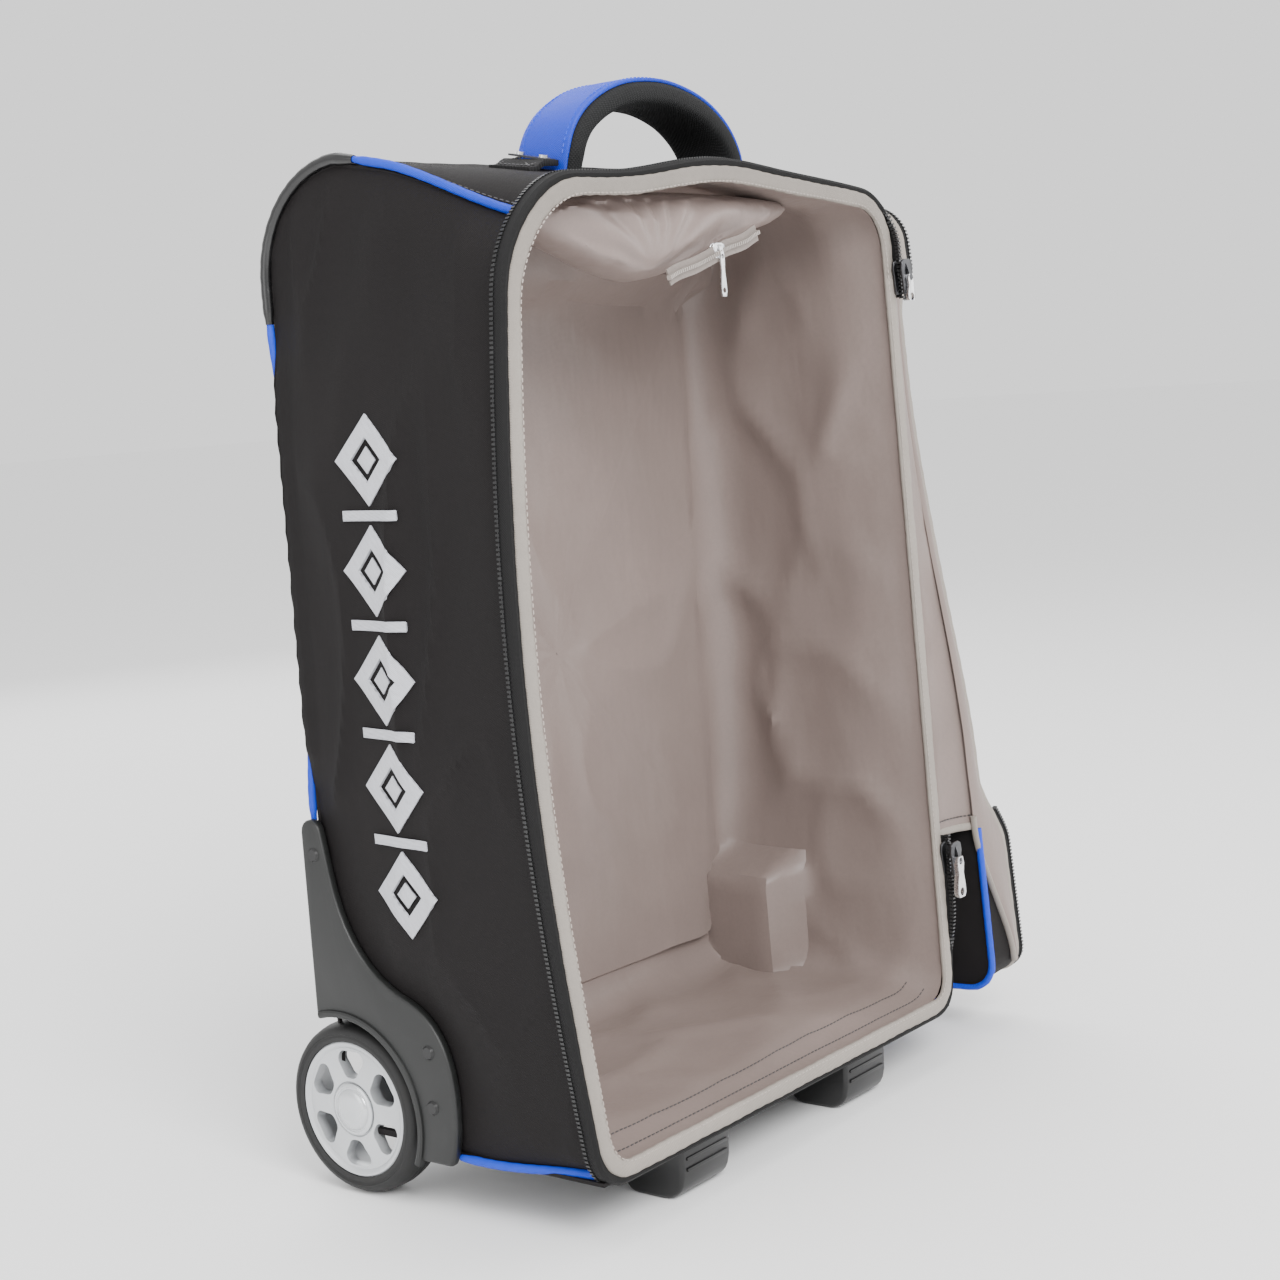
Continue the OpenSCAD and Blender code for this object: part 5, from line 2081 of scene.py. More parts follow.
@dataclass
class CarryHandle:
    """The padded loop on top: blue above, dark grey below, sewn to the top at both roots.

    Attributes:
        bench: The tools.
        half: Half of its outer span.
        y: Its middle plane.
        top: Its highest point.
        root: Height of its roots.
        depth: Thickness of the pad.
        width: Width of the pad.
        strap: Length of the webbing beside each root.
        plate_x: Middle of each root's plate.
        plate_lift: How far over the top's cloth the plate lies.
    """

    bench: Bench
    half: float = 81.0
    y: float = -30.0
    top: float = 594.0
    root: float = 541.0
    depth: float = 15.0
    width: float = 40.0
    strap: float = 24.0
    plate_x: float = 89.0
    plate_lift: float = 3.3

    def path(self, n: int = 64) -> list[Vector]:
        """The pad's middle line from the left root to the right one.

        Args:
            n: How many steps the arch is drawn in.

        Returns:
            The points, 3 mm apart.
        """
        w, h = self.half - self.depth / 2, self.top - self.depth / 2 - self.root
        out = []
        for i in range(n + 1):
            a = math.pi * (i / n)
            c, s = math.cos(a), max(0.0, math.sin(a))
            out.append(Vector((-w * math.copysign(abs(c) ** 0.98, c), self.y, self.root + h * s ** 0.96)))
        return soften(resample(out, step=3.0), rounds=3)

    def wide(self, i: int, n: int) -> float:
        """Share of the full width at a point of the path: the ends gather into the top's seam."""
        return min(1.0, 0.9 + 0.6 * math.sin(math.pi * min(1, max(0, i / n))))

    def layer(self, name: str, low: float, high: float, half_width: float, power: float) -> bpy.types.Object:
        """One half of the pad as a closed lens.

        Args:
            name: The object's name.
            low: Lower face at the middle, out from the path.
            high: Upper face at the middle.
            half_width: Half of its width.
            power: How square its section is.

        Returns:
            The object.
        """
        path = self.path()
        n = len(path) - 1
        rows = []
        for i, p in enumerate(path):
            along = (path[min(i + 1, n)] - path[max(i - 1, 0)]).normalized()
            out = FORWARD.cross(along).normalized()
            row = []
            for j in range(28):
                a = 2 * math.pi * j / 28
                c, s = math.cos(a), math.sin(a)
                w = half_width * self.wide(i, n) * math.copysign(abs(c) ** power, c)
                mid = (high + low) / 2
                lift = mid + math.copysign(abs(s) ** power, s) * (high - low) / 2
                lift += 0.35 * ripple(p + FORWARD * w, (24, 24, 24), seed=5.5)
                row.append(p + out * lift + FORWARD * w)
            rows.append(row)
        obj = self.bench.grid(name, rows, around=True)
        self.bench.edit(obj, lambda: bpy.ops.mesh.select_all(action="DESELECT"),
                        lambda: bpy.ops.mesh.select_non_manifold(extend=False),
                        lambda: bpy.ops.mesh.fill_holes(sides=0))
        return self.bench.outward(obj)

    def bend(self, obj: bpy.types.Object) -> bpy.types.Object:
        """Bakes a piece's placement into its mesh.

        Args:
            obj: The piece.

        Returns:
            The same piece.
        """
        shape = self.bench.shape
        low, high = shape.at(Vector((0, self.y, 551))), shape.at(Vector((0, self.y, 572)))
        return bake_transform(obj, "shell", "carry_handle", start=tuple(low), end=tuple(high))

    def build(self) -> None:
        """Builds the layers, their edge piping, the webbing under the roots and the plates' finish."""
        cover = self.layer("carry_cover", low=5.0, high=7.9, half_width=17.4, power=0.45)
        self.bench.dress(cover, "handle_blue", "", ["carry_pad"], angle=60)
        self.bend(cover)
        under = self.layer("carry_underside", low=-7.6, high=7.0, half_width=19.6, power=0.6)
        self.bench.dress(under, "handle_grey", "", slot="handle_black", angle=60)
        self.bend(under)
        path = self.path()
        n = len(path) - 1
        outs = [FORWARD.cross(path[min(i + 1, n)] - path[max(i - 1, 0)]).normalized() for i in range(n + 1)]
        for k in (-1, 1):
            line = [p + FORWARD * (k * 14.2 * self.wide(i, n)) + outs[i] * 7.5 for i, p in enumerate(path)][3:-3]
            sewn = self.bench.stitches(f"carry_topstitch_{Side(k).word}", line, lambda i: outs[i + 3], pitch=3.4,
                                       length=2.5, lift=0.25)
            self.bench.dress(sewn, "blue_piping", "", slot="handle_blue")
            self.bend(sewn)
        self.webbing()
        self.bench.repaint("handle_roots", "dark_metal")
        self.bench.repaint("root_rivets", "zinc")

    def webbing(self) -> None:
        """Flat webbing sewn to the top beside each root, with boxed stitching."""
        low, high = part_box("carry_webbing")
        origin = self.bench.shape.origin
        a, b = (low - origin) / MM, (high - origin) / MM
        parts, threads = [], []

        def over(x: float, y: float) -> Vector:
            """A point just over the top's cloth, rising to the underside of the root's plate."""
            shape = self.bench.shape
            w = x / PANEL_HALF
            depth = 1 - (y - shape.front_top_y) / (shape.corner[0] - shape.front_top_y)
            rise = 0.6 + self.plate_lift * (1 - smooth(5.5, 13, abs(x) - self.plate_x))
            return Vector((x, y, shape.top_z(y) + rise + shape.top_crown * (1 - w * w) * depth))

        for k in (-1, 1):
            inner = b.x - self.strap
            spans = (inner, b.x) if k > 0 else (-b.x, -inner)
            rows = []
            for i in range(9):
                y = lerp(a.y + 1, b.y - 1, i / 8)
                rows.append([over(lerp(spans[0], spans[1], j / 8), y) for j in range(9)])
            strap = self.bench.grid(f"root_webbing_{Side(k).word}", rows, thick=3.2, facing=Vector((0, self.y, 0)))
            self.bench.bevel(strap, width=0.4, segments=2, angle=60)
            parts.append(strap)
            y0, y1 = a.y + 4, b.y - 4
            x0, x1 = spans[0] + 3, spans[1] - 3
            corners = [(x0, y0), (x1, y0), (x1, y1), (x0, y1), (x0, y0), (x1, y1)]
            path = [over(x, y) + Vector((0, 0, 0.5)) for x, y in corners]
            threads.append(self.bench.stitches(f"root_stitches_{Side(k).word}", path, UP, pitch=2.8, length=2.2,
                                               lift=0.1))
        straps = self.bench.join("root_webbing", parts)
        self.bench.dress(straps, "webbing", nodes=["carry_webbing"], slot="handle_black")
        self.bench.dress(self.bench.join("root_stitches", threads), "black_thread", slot="handle_black")


@dataclass
class TelescopicHandle:
    """The cup in the top back corner, the tubes, and the grip with its button.

    Attributes:
        bench: The tools.
        half: Half of the cup's width.
        front: Y of the cup's front edge.
    """

    bench: Bench
    half: float = 84.0
    front: float = 50.0

    def lip(self) -> None:
        """A rounded lip round the cup's mouth, lying on the bag's rounded corner."""
        shape = self.bench.shape
        cy, cz = shape.corner
        x, y0, y1, r = self.half - 1.5, self.front + 2, 87.2, 5
        flat = []
        for cx, cyy, a0 in ((x - r, y1 - r, 0), (r - x, y1 - r, 90), (r - x, y0 + r, 180), (x - r, y0 + r, 270)):
            flat += arc((cx, cyy), r, a0, a0 + 90, 5)
        path, ups = [], []
        for px, py in [tuple(p)[:2] for p in resample([Vector((a, b, 0)) for a, b in flat], step=3.0, closed=True)]:
            up = Vector((0, py - cy, math.sqrt(max(1.0, (shape.corner_r + 0.6) ** 2 - (py - cy) ** 2)))).normalized()
            path.append(Vector((px, cy, cz)) + up * (shape.corner_r + 0.8))
            ups.append(up)
        section = [(-2.4, -1.2), (-2.1, 0.9), (-1.0, 1.7), (1.2, 1.7), (2.4, 0.6), (2.8, -1.2)]
        lip = self.bench.sweep("handle_cup_lip", path, section, lambda i: ups[i], closed=True)
        self.bench.dress(lip, "black_plastic", angle=50)

    def grip(self) -> None:
        """The grip with a soft ribbed face and a well for the button."""
        low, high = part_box("grip")
        origin = self.bench.shape.origin
        a, b = (low - origin) / MM, (high - origin) / MM
        grip = self.bench.block("pull_grip", a, b, round_by=3.2, segments=4)
        middle = (a.y + b.y) / 2 - 0.5
        well = self.bench.block("well", (-16, middle - 4.5, b.z - 8), (16, middle + 5.5, b.z + 10), round_by=0)
        self.bench.cut(grip, well)
        parts = [grip]
        for k in (-1, 1):
            for i in range(9):
                x = k * (24 + 4.2 * i)
                low, high = (x - 1.1, a.y + 2.6, b.z - 0.5), (x + 1.1, b.y - 2.6, b.z + 0.6)
                parts.append(self.bench.block("rib", low, high, round_by=0.5, segments=2))
        self.bench.dress(self.bench.join("pull_grip", parts), "black_plastic", "grip_stage", ["grip"], angle=35)
        low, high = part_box("grip_button")
        a, b = (low - origin) / MM, (high - origin) / MM
        button = self.bench.block("pull_button", a, b, round_by=1.4, segments=3)
        bars = [self.bench.block("bar", (x - 0.8, a.y + 1.6, b.z - 0.4), (x + 0.8, b.y - 1.6, b.z + 0.5),
                                 round_by=0.35, segments=2)
                for x in (-8, -4, 0, 4, 8)]
        button = self.bench.join("pull_button", [button, *bars])
        self.bench.dress(button, "button_grey", "button", ["grip_button"], angle=35)

    def build(self) -> None:
        """Builds lip, grip and button, and finishes the cup, tubes, bracket and boards."""
        self.lip()
        self.grip()
        for node, finish in (("handle_bezel", "black_plastic"), ("tube_bracket", "black_plastic"),
                             ("outer_tubes", "tube_aluminium"), ("middle_tubes", "tube_aluminium"),
                             ("inner_tubes", "tube_aluminium"), ("back_board", "board"), ("base_board", "board"),
                             ("guard_rivets", "black_plastic")):
            self.bench.repaint(node, finish)


# ---------------------------------------------------------------- flap


@dataclass
class Flap:
    """The zip-off front flap, drawn shut and turned open about its two folds.

    Attributes:
        bench: The tools.
        crown: How far the padded panel stands out.
        panel_t: Thickness of the padded panel.
        sag: How far the upper part of the hinge side falls back when open.
        turn_w: Distance before the fold where the hinge leaves the bag.
        split: Distance before the fold where the hinge's two cloths meet.
    """

    bench: Bench
    crown: float = 6.0
    panel_t: float = 5.0
    sag: float = 18.0
    turn_w: float = 26.0
    split: float = 14.0

    def __post_init__(self) -> None:
        """Works out the two fold lines and the turn from shut to open."""
        s = self.bench.shape
        self.hinge_foot = Vector((s.half_w, s.front_bottom_y, s.bottom_z))
        self.hinge_axis = Vector((0, s.front_top_y - s.front_bottom_y, s.front_h)).normalized()
        self.fold_foot = self.hinge_foot - Vector((0, s.gusset_bottom, 0))
        fold_top = Vector((s.half_w, s.front_top_y - s.gusset_top, s.front_top_z))
        self.fold_axis = (fold_top - self.fold_foot).normalized()
        self.height = Vector((0, s.front_top_y - s.gusset_top - self.fold_foot.y, s.front_h)).length
        self.open_hinge = self.about(self.hinge_foot, self.hinge_axis, angle=90)
        self.open_all = self.open_hinge @ self.about(self.fold_foot, self.fold_axis, angle=180)

    @staticmethod
    def about(point: Vector, axis: Vector, angle: float) -> Matrix:
        """A turn about a line, in degrees."""
        return Matrix.Translation(point) @ Matrix.Rotation(math.radians(angle), 4, axis) @ Matrix.Translation(-point)

    def settle(self, p: Vector) -> Vector:
        """The open flap's fall backward along its upper hinge side."""
        back = self.sag * smooth(170, 430, p.z) * (1 - smooth(-70, 40, p.y))
        return p + Vector((0, back, 0))

    def shut(self, x: float, h: float, depth: float) -> Vector:
        """A point of the shut flap: x across, h up its plane, depth toward the bag.

        Args:
            x: Place across.
            h: Height up the plane.
            depth: Distance toward the bag.

        Returns:
            The point.
        """
        t = math.atan(self.fold_axis.y / self.fold_axis.z)
        s = self.bench.shape
        return Vector((x, self.fold_foot.y + h * math.sin(t) + depth * math.cos(t),
                       s.bottom_z + h * math.cos(t) - depth * math.sin(t)))

    def place(self, x: float, h: float, depth: float) -> Vector:
        """A point of the open flap."""
        return self.settle(self.open_all @ self.shut(x, h, depth))

    def room(self, h: float) -> float:
        """Depth from the flap's plane to the edge of its zip at height h."""
        s = self.bench.shape
        return lerp(s.gusset_bottom, s.gusset_top, h / self.height) - s.zip_w - 3.5

    def outline(self, inset: float, step: float = 6.0) -> list[tuple[float, float]]:
        """The flap's outline as (x, h), starting at the middle of its top.

        Args:
            inset: How far inward of the edge.
            step: Distance between points.

        Returns:
            The points.
        """
        s, top = self.bench.shape, self.height - inset
        w = s.half_w - inset
        hr, fr, lr = s.hinge_corner_r - inset, s.free_corner_r - inset, s.low_r - inset
        flat = [(0, top)] + arc((w - hr, top - hr), hr, 90, 0, 8) + arc((w - lr, inset + lr), lr, 0, -90, 6)
        flat += arc((lr - w, inset + lr), lr, -90, -180, 6) + arc((fr - w, top - fr), fr, 180, 90, 12)
        return [(p.x, p.y) for p in resample([Vector((x, h, 0)) for x, h in flat], step, closed=True)]

    def hinged(self, x: float, h: float) -> bool:
        """Whether a point of the outline is on the fabric hinge."""
        s = self.bench.shape
        return x > s.half_w - 6 and s.hinge_low_z + 1 < self.shut(x, h, 0).z < s.hinge_high_z - 2

    def disc(self, name: str, inset: float, depth: Callable[[float, float, float], float], rings: int,
             thick: float, around: Sequence[Sequence[Vector]] = ()) -> bpy.types.Object:
        """A cloth over the flap's whole plane, from its outline to its middle.

        Args:
            name: The object's name.
            inset: How far inside the outline it starts.
            depth: Depth at (x, h, share from middle to edge).
            rings: Rings from the outline to the middle.
            thick: Thickness.
            around: Rows put before the outline's, such as a wall.

        Returns:
            The object.
        """
        mid_h = self.height / 2
        edge = self.outline(inset)
        rows = [list(r) for r in around]
        for i in range(rings + 1):
            share = max(0.004, 1 - (i / rings) ** 1.05)
            rows.append([self.place(x * share, mid_h + (h - mid_h) * share,
                                    depth(x * share, mid_h + (h - mid_h) * share, share)) for x, h in edge])
        obj = self.bench.grid(name, rows, around=True)
        self.bench.edit(obj, lambda: bpy.ops.mesh.remove_doubles(threshold=2e-6))
        self.bench.apply(obj, "SOLIDIFY", thickness=thick * MM, offset=1.0)
        return self.bench.outward(obj)

    def panel(self) -> None:
        """The padded outer panel, crowned away from the bag's inside."""
        def depth(x: float, h: float, share: float) -> float:
            """Depth of the outer face."""
            p = Vector((x, 0, h))
            edge = 1 - smooth(0.86, 1.0, share)
            slack = 1.4 * ripple(p, (120, 60, 90), seed=4.2) * edge
            return -self.crown * (1 - share ** 3) - slack + 1.2 * share ** 24

        panel = self.disc("flap_outer_cloth", 0.6, depth, 34, self.panel_t)
        self.bench.dress(panel, "black_polyester", "flap", ["flap_panel"], angle=60)

    def reach(self, x: float, h: float) -> float:
        """Depth of the wall's edge: full all round, and slight beside the fabric hinge.

        Args:
            x: Place across.
            h: Height up the plane.

        Returns:
            The depth.
        """
        if x < self.bench.shape.half_w - 6:
            return self.room(h)
        z = self.shut(x, h, 0).z
        slight = lerp(5, 9, smooth(300, 170, z))
        return lerp(slight, self.room(h), max(smooth(170, 118, z), smooth(462, 492, z)))

    def wall(self) -> None:
        """The gusset round the flap, with its binding, and the zip along it except beside the hinge."""
        edge = self.outline(0.8, step=4.0)
        rows = [[self.place(x, h, lerp(0.6, self.reach(x, h), i / 8)) for x, h in edge] for i in range(9)]
        wall = self.bench.grid("flap_gusset_cloth", rows, around=True)
        self.bench.apply(wall, "SOLIDIFY", thickness=1.4 * MM, offset=0.0)
        self.bench.outward(wall)
        self.bench.dress(wall, "black_polyester", "flap", ["flap_gusset"], angle=60)
        outs = [(b - a).normalized() for a, b in zip(rows[-2], rows[-1])]
        ring = [(0.4 + 2.3 * math.cos(2 * math.pi * i / 12), 3.4 * math.sin(2 * math.pi * i / 12)) for i in range(12)]
        tape = self.bench.sweep("flap_edge_tape", [p + o * 0.6 for p, o in zip(rows[-1], outs)], ring,
                                lambda i: outs[i], closed=True, swell=lambda i: 1 + 0.05 * math.sin(i * 1.7))
        self.bench.dress(tape, "binding", "flap")
        hinged = {i for i, (x, h) in enumerate(edge) if self.hinged(x, h)}
        first, n = max(hinged), len(edge)
        kept = [(first + j) % n for j in range(n - len(hinged) + 1)]
        self.edge_zip([rows[-1][i] for i in kept], [outs[i] for i in kept])

    def edge_zip(self, lip: Sequence[Vector], outs: Sequence[Vector]) -> None:
        """Zip tape and teeth along the wall's edge.

        Args:
            lip: The wall's edge.
            outs: Outward at each of its points.
        """
        n = len(lip)
        rows = [[p + o * a for a in (1.0, 3.4, 6.0, 8.0)] for p, o in zip(lip, outs)]
        cloth = self.bench.grid("flap_tape_cloth", rows, thick=0.9)
        self.bench.outward(cloth)
        self.bench.dress(cloth, "zip_tape", "flap", ["flap_zip_tape"])
        edge = [r[-1] for r in rows]
        teeth = self.bench.teeth("flap_zip_row", edge, lambda i: outs[min(i, n - 1)], pitch=2.3, width=3.4)
        self.bench.dress(teeth, "zip_teeth", "flap", ["flap_zip_teeth"], angle=30)

    def facing(self) -> None:
        """The lining turned over the wall beside the hinge, and its slanting bound edge below."""
        s = self.bench.shape
        rows, slant = [], []
        for i in range(64):
            z = lerp(42, 478, i / 63)
            h = (z - s.bottom_z) / s.front_h * self.height
            edge = self.reach(s.half_w, h) - 1.0
            start = lerp(-2.5, 0.86 * edge, smooth(146, 40, z))
            row = []
            for j in range(9):
                depth = lerp(start, edge, j / 8)
                wrinkle = 0.6 * ripple(Vector((depth, 0, z)), (20, 20, 30), seed=4.6)
                puff = 1.6 + 1.2 * math.sin(math.pi * j / 8) + wrinkle
                row.append(self.place(s.half_w + puff - 0.6, h, depth))
            rows.append(row)
            if z < 150:
                slant.append(row[0])
        cloth = self.bench.grid("flap_facing", rows, thick=0.7)
        self.bench.outward(cloth)
        self.bench.dress(cloth, "lining", "flap")
        ring = [(2.2 * math.cos(2 * math.pi * i / 12), 1.3 * math.sin(2 * math.pi * i / 12)) for i in range(12)]
        bound = self.bench.sweep("flap_slant_tape", slant, ring, Vector((1, 0, 0)))
        self.bench.dress(bound, "binding", "flap")

    def wall_rows(self, inset: float, steps: int, start: float, end: float) -> list[list[Vector]]:
        """Rows of the lining's wall from depth start, or less where the wall is slight, to a share end of it.

        Args:
            inset: How far inward of the edge.
            steps: How many rows after the first.
            start: Depth of the first row.
            end: Share of the wall's depth at the last row.

        Returns:
            The rows.
        """
        rows = []
        for i in range(steps + 1):
            rows.append([self.place(x, h, lerp(min(start, self.reach(x, h) * 0.6), self.reach(x, h) * end, i / steps))
                         for x, h in self.outline(inset)])
        return rows

    def lining(self) -> None:
        """The taupe lining inside the flap, up its walls and over its panel."""
        s = self.bench.shape

        def depth(x: float, h: float, share: float) -> float:
            """Depth of the lining's face."""
            p = Vector((x, 0, h))
            fold = 2.2 * ripple(p, (90, 60, 120), seed=8.8) + 3.2 * crease(p, (120, 60, 90), seed=3.3)
            deep = 8.5 + fold * (1 - smooth(0.8, 1.0, share)) + 5 * smooth(0.94, 1.0, share)
            return min(deep, self.reach(s.half_w, h) * 0.6) if x > s.half_w - 12 else deep

        wall = self.wall_rows(3.4, steps=5, start=14.0, end=0.97)[::-1]
        cloth = self.disc("flap_inner_cloth", 3.4, depth, 30, 0.8, wall)
        self.bench.dress(cloth, "lining", "flap", ["flap_lining"], angle=60)

    def piping(self) -> None:
        """Blue piping round the panel's edge."""
        flat = self.outline(-1.4, step=3.0)
        hinged = {i for i, (x, h) in enumerate(flat) if self.hinged(x, h)}
        first, n = max(hinged), len(flat)
        path = [self.place(*flat[(first + j) % n], 1.6) for j in range(2, n - len(hinged) - 1)]
        ring = [(2.2 * math.cos(2 * math.pi * i / 10), 2.2 * math.sin(2 * math.pi * i / 10)) for i in range(10)]
        normal = (self.place(0, h=200, depth=10) - self.place(0, h=200, depth=0)).normalized()
        cord = self.bench.sweep("flap_piping_cord", path, ring, normal,
                                swell=lambda i: 1 + 0.035 * math.sin(i * 2.1))
        self.bench.dress(cord, "blue_piping", "flap", ["flap_piping"])

    def strip_rows(self, first: float, last: float, steps: int, shift: float) -> list[list[Vector]]:
        """Rows across the fabric hinge.

        Args:
            first: Distance of a row's start before the fold, or more than the strip's width for the opening's edge.
            last: Distance of its end before the fold.
            steps: Steps along a row.
            shift: How far behind the front face the rows lie.

        Returns:
            The rows, from the strip's foot to its top.
        """
        s = self.bench.shape
        rows = []
        for i in range(48):
            z = lerp(s.hinge_low_z, s.hinge_high_z, i / 47)
            start = s.opening(s.half_w - 1, z - s.bottom_z, -0.2)
            fold = self.open_all @ self.shut(s.half_w - 0.5, (z - s.bottom_z) / s.front_h * self.height, 1.0)
            width = (fold - start).length
            fallen = self.settle(fold).y - fold.y
            row = []
            for j in range(steps + 1):
                before = lerp(min(first, width), last, j / steps)
                t = 1 - before / width
                p = start.lerp(fold, t)
                slack = max(0.0, math.sin(math.pi * t))
                billow = 3.5 + 2.0 * ripple(p, (30, 30, 60), seed=2.6)
                p.y += slack * billow + 1.5 * slack * crease(p, (40, 40, 50), seed=5)
                p.y += shift + fallen * max(0.0, 1 - before / self.turn_w) ** 2.5
                row.append(p)
            rows.append(row)
        return rows

    def across(self, before: float) -> tuple[float, float, float]:
        """A point of the row frame at a distance before the fold.

        Args:
            before: The distance.

        Returns:
            The point in metres.
        """
        s = self.bench.shape
        foot = self.open_all @ self.shut(s.half_w, 0, 0)
        head = self.open_all @ self.shut(s.half_w, self.height, 0)
        axis = (head - foot).normalized()
        out = Vector((1, 0, 0)) - axis * axis.x
        return tuple(s.at(foot.lerp(head, 0.5) - out.normalized() * before))

    def hinge_strip(self) -> None:
        """The fabric hinge: lining in front and black behind, in an inner half by the opening and an outer half by
        the flap's fold.
        """
        halves = (("inner", 99.0, self.split - 0.6, ("shell", "hinge_strip"), (self.turn_w, self.split)),
                  ("outer", self.split + 0.6, -3.0, ("hinge_strip", "flap"), (self.split, 1.0)))
        for half, first, last, bodies, ends in halves:
            for cloth, shift, thick, finish in (("lining", 0.0, 0.8, "lining"),
                                                ("back", 1.4, 1.2, "black_polyester")):
                strip = self.bench.grid(f"hinge_{half}_{cloth}", self.strip_rows(first, last, 10, shift), thick=thick)
                self.bench.outward(strip)
                self.bench.dress(strip, finish, "", ["hinge_gusset"] if (half, cloth) == ("inner", "lining") else [],
                                 finish)
                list(bodies)
                self.across(ends[0])
                self.across(ends[1])
                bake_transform(strip)
        rows = self.strip_rows(99.0, last=0.5, steps=20, shift=0.0)
        ring = [(2.6 * math.cos(2 * math.pi * i / 12), 1.5 * math.sin(2 * math.pi * i / 12)) for i in range(12)]
        hem = self.bench.sweep("hinge_hem", [p + Vector((0, 0.6, 0)) for p in rows[0]], ring, FORWARD)
        self.bench.dress(hem, "binding", "", [], "binding")
        seam = [p + Vector((0, -0.2, 0)) for p in rows[1]]
        sewn = self.bench.stitches("hinge_stitches", seam, FORWARD, pitch=3.2, length=2.4, lift=0.3)
        self.bench.dress(sewn, "dark_thread", "", [], "lining")
        for piece in (hem, sewn):
            self.across(self.turn_w)
            self.across(self.split)
            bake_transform(piece)

    def build(self) -> None:
        """Builds the whole flap and its hinge strip."""
        self.panel()
        self.wall()
        self.lining()
        self.facing()
        self.piping()
        self.hinge_strip()


# ---------------------------------------------------------------- sliders


@dataclass
class Slider:
    """A zip slider with a bridge and a pull.

    Attributes:
        bench: The tools.
        node: Name of the slider's CAD node and body.
        pull: Name of the pull's CAD node and body.
        finish: The slider's finish.
        size: Share of the main zip's slider size.
    """

    bench: Bench
    node: str
    pull: str
    finish: str
    size: float = 1.0

    def build(self) -> None:
        """Builds the two-plated body with its bridge, and the pull with its eye."""
        origin = self.bench.shape.origin
        low, high = ((c - origin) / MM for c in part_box(self.node))
        mid = (low + high) / 2
        half = (high.x - low.x) / 2
        tall = (high.z - low.z) / 2
        deep = high.y - low.y
        plate_t = min(1.6, deep * 0.3)
        outline = [(-0.62, -1), (0.62, -1), (0.8, -0.2), (1, 0.45), (0.86, 0.86), (0.45, 1), (-0.45, 1),
                   (-0.86, 0.86), (-1, 0.45), (-0.8, -0.2)]
        parts = []
        for y in (low.y, high.y - plate_t):
            face = [Vector((mid.x + a * half, y, mid.z + b * tall)) for a, b in outline]
            part = self.bench.plate("slider_plate", face, Vector((0, plate_t, 0)))
            parts.append(self.bench.bevel(part, width=0.45, segments=2, angle=40))
        parts.append(self.bench.block("slider_core", (mid.x - half * 0.22, low.y + 0.4, mid.z + tall * 0.1),
                                      (mid.x + half * 0.22, high.y - 0.4, mid.z + tall * 0.8), round_by=0.4,
                                      segments=2))
        bridge = [Vector((mid.x, low.y - 1.9 * self.size * math.sin(math.pi * i / 12) + 0.3,
                          mid.z + tall * lerp(-0.72, 0.72, i / 12))) for i in range(13)]
        w = half * 0.26
        parts.append(self.bench.sweep("slider_bridge", bridge, [(-0.5, -w), (0.5, -w), (0.5, w), (-0.5, w)],
                                      Vector((1, 0, 0))))
        body = self.bench.join(f"{self.node}_body", parts)
        self.bench.dress(body, self.finish, self.node, [self.node])
        low, high = ((c - origin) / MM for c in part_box(self.pull))
        mid, half, tall = (low + high) / 2, (high.x - low.x) / 2, (high.z - low.z)
        shape = [(-0.55, 0), (-0.8, 0.18), (-0.6, 0.42), (-0.95, 0.72), (-1, 0.9), (-0.7, 1), (0.7, 1), (1, 0.9),
                 (0.95, 0.72), (0.6, 0.42), (0.8, 0.18), (0.55, 0)]
        face = [Vector((mid.x + a * half, low.y, low.z + tall * (1 - b))) for a, b in shape]
        tab = self.bench.plate("pull_tab", face, Vector((0, high.y - low.y, 0)))
        for z, r in ((low.z + tall * 0.14, 0.34), (high.z - tall * 0.11, 0.3)):
            self.bench.pick_none()
            bpy.ops.mesh.primitive_cylinder_add(vertices=20, radius=half * r * 2 * MM * 0.8, depth=0.02,
                                                rotation=(math.pi / 2, 0, 0))
            eye = bpy.context.active_object
            bpy.ops.object.transform_apply(location=False, rotation=True, scale=False)
            for v in eye.data.vertices:
                v.co += self.bench.shape.at(Vector((mid.x, mid.y, z)))
            self.bench.cut(tab, eye)
        self.bench.bevel(tab, width=0.25, segments=2, angle=40)
        tab.name = f"{self.pull}_tab"
        self.bench.dress(tab, "zinc", self.pull, [self.pull])


# ---------------------------------------------------------------- studio


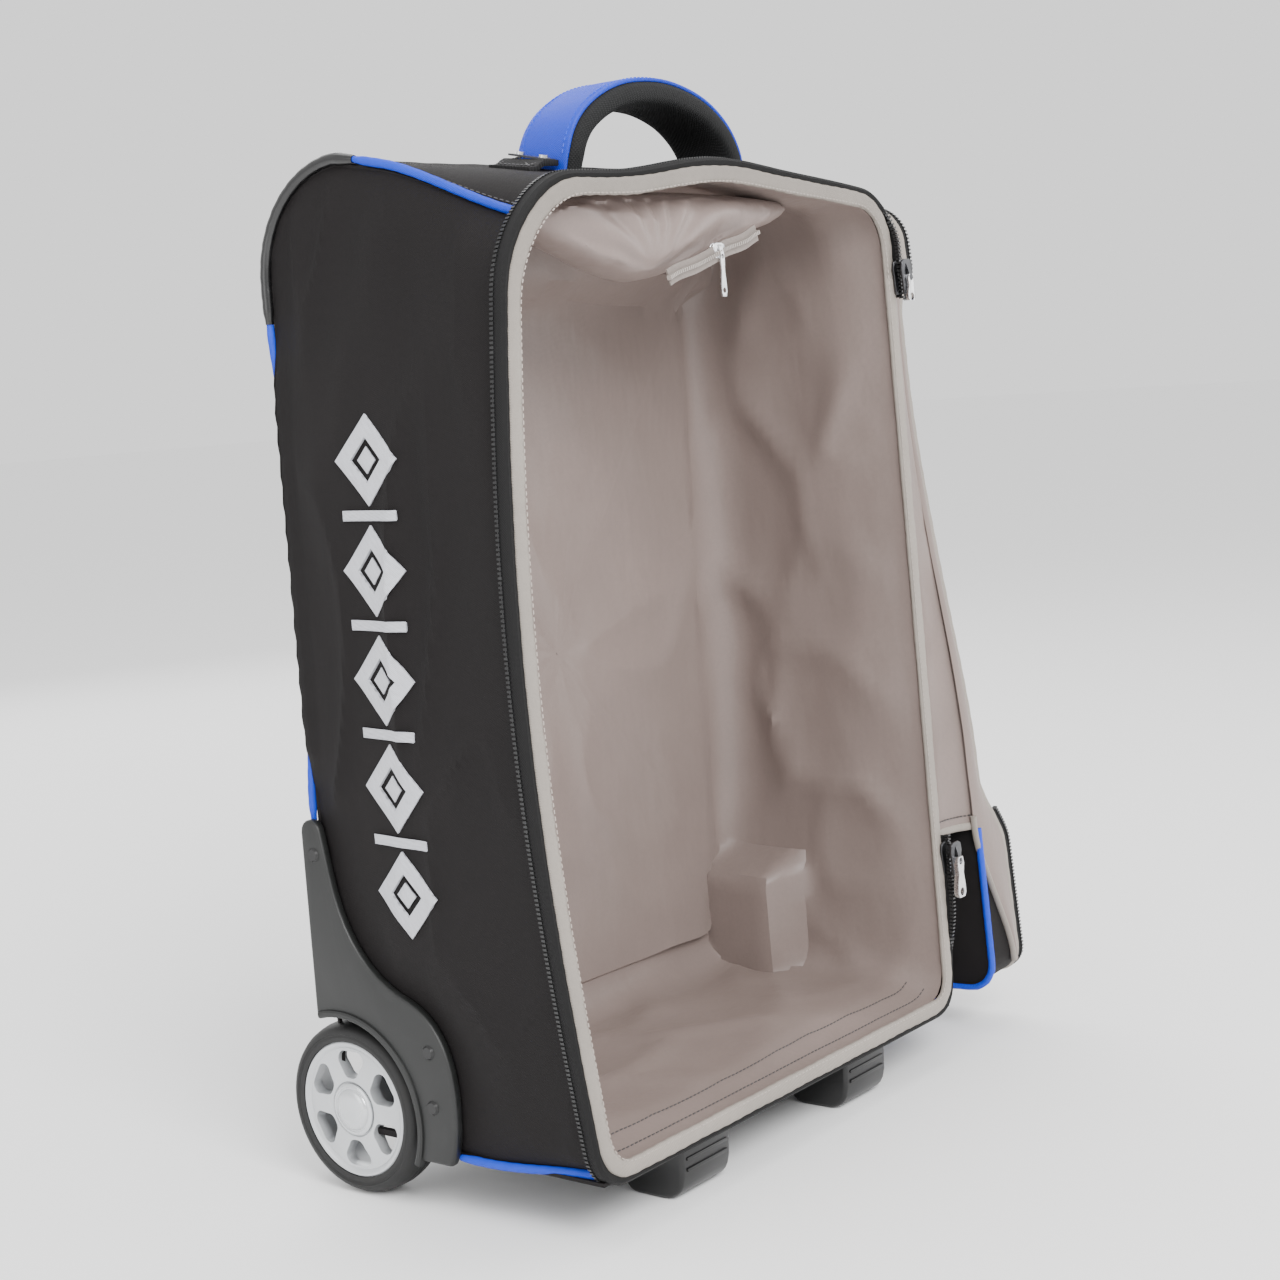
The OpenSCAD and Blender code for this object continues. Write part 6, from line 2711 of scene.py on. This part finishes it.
@dataclass
class Studio:
    """Camera, lights and floor.

    Attributes:
        shape: The bag's form, for its place.
        azimuth: The camera's direction round the bag, from -Y, in degrees.
        elevation: Its height angle in degrees.
        roll: Its roll in degrees.
        reach: Its distance in metres.
        lens: Its lens in millimetres.
        aim_z: Height that it looks at, in millimetres.
        aim_right: How far right of that it is aimed, in metres.
        aim_up: How far over that it is aimed, in metres.
    """

    shape: Shape
    azimuth: float = -51.717
    elevation: float = 6.726
    roll: float = -4.034
    reach: float = 1.26107
    lens: float = 61.791
    aim_z: float = 280.0
    aim_right: float = 0.007647
    aim_up: float = 0.003732

    def camera(self) -> None:
        """Sets the camera."""
        az, el, roll = (math.radians(a) for a in (self.azimuth, self.elevation, self.roll))
        back = Vector((math.sin(az) * math.cos(el), -math.cos(az) * math.cos(el), math.sin(el)))
        right = Vector((math.cos(az), math.sin(az), 0))
        up = back.cross(right)
        target = self.shape.at(Vector((0, 0, self.aim_z))) + right * self.aim_right + Vector((0, 0, self.aim_up))
        right, up = right * math.cos(roll) + up * math.sin(roll), up * math.cos(roll) - right * math.sin(roll)
        camera = bpy.data.objects.new("camera", bpy.data.cameras.new("camera"))
        bpy.context.scene.collection.objects.link(camera)
        frame = Matrix((right, up, back)).transposed().to_4x4()
        frame.translation = target + back * self.reach
        camera.matrix_world = frame
        camera.data.lens, camera.data.sensor_width = self.lens, 36.0
        camera.data.clip_start, camera.data.clip_end = 0.05, 50
        bpy.context.scene.camera = camera

    def light(self, name: str, place: Sequence[float], size: float, power: float) -> None:
        """A soft square light that faces the bag's middle.

        Args:
            name: The lamp's name.
            place: Where it stands, in metres.
            size: Its side, in metres.
            power: Its power in watts.
        """
        lamp = bpy.data.lights.new(name, "AREA")
        lamp.size, lamp.energy = size, power
        obj = bpy.data.objects.new(name, lamp)
        bpy.context.scene.collection.objects.link(obj)
        obj.location = place
        obj.rotation_euler = (Vector(place) - Vector((0, 0, 0.3))).to_track_quat("Z", "Y").to_euler()

    def floor(self) -> None:
        """A large pale floor."""
        bpy.ops.object.select_all(action="DESELECT")
        bpy.ops.mesh.primitive_plane_add(size=40)
        floor = bpy.context.active_object
        floor.name = "studio_floor"
        recipe = Recipe("studio_floor")
        floor.data.materials.append(recipe.done(Base_Color=(0.96, 0.96, 0.96, 1.0), Roughness=0.85))

    def build(self) -> None:
        """Builds the studio."""
        self.camera()
        self.floor()
        self.light("key", (-0.9, -1.7, 1.5), size=1.0, power=58)
        self.light("fill", (1.6, -1.5, 0.9), size=1.6, power=16)
        self.light("left_wash", (-2.2, 0.2, 0.8), size=1.4, power=14)
        self.light("top", (0.1, 0.3, 2.2), size=1.6, power=16)
        self.light("back", (0.9, 1.9, 1.2), size=1.4, power=14)
        world = bpy.data.worlds.new("studio")
        world.use_nodes = True
        world.node_tree.nodes["Background"].inputs[0].default_value = (1.0, 1.0, 1.0, 1)
        world.node_tree.nodes["Background"].inputs[1].default_value = 1.3
        bpy.context.scene.world = world


class Maker(Protocol):
    """A sub-assembly that builds and dresses its own pieces."""

    def build(self) -> None:
        """Builds the pieces."""


def make(maker: Maker) -> None:
    """Builds one sub-assembly and reports it."""
    maker.build()
    LOG.info("built %s", type(maker).__name__)


def main() -> None:
    """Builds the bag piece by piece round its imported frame."""
    logging.basicConfig(level=logging.INFO, format="%(message)s")
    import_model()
    left, right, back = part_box("left_foot")[0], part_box("right_foot")[1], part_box("back_panel")[1]
    shape = Shape(Vector(((left.x + right.x) / 2, back.y - 0.088, 0)))
    bench = Bench(shape, Finishes())
    make(Studio(shape))
    shell = Shell(bench)
    make(shell)
    make(Emblem(bench, shell))
    make(Opening(bench))
    make(Interior(bench))
    for side in Side:
        make(WheelCorner(bench, side))
    make(Feet(bench))
    make(CarryHandle(bench))
    make(TelescopicHandle(bench))
    make(Flap(bench))
    make(Slider(bench, "lower_slider", "lower_pull", "dark_metal"))
    make(Slider(bench, "upper_slider", "upper_pull", "dark_metal"))
    make(Slider(bench, "pocket_slider", "pocket_pull", "zinc", size=0.6))


if __name__ == "__main__":
    main()
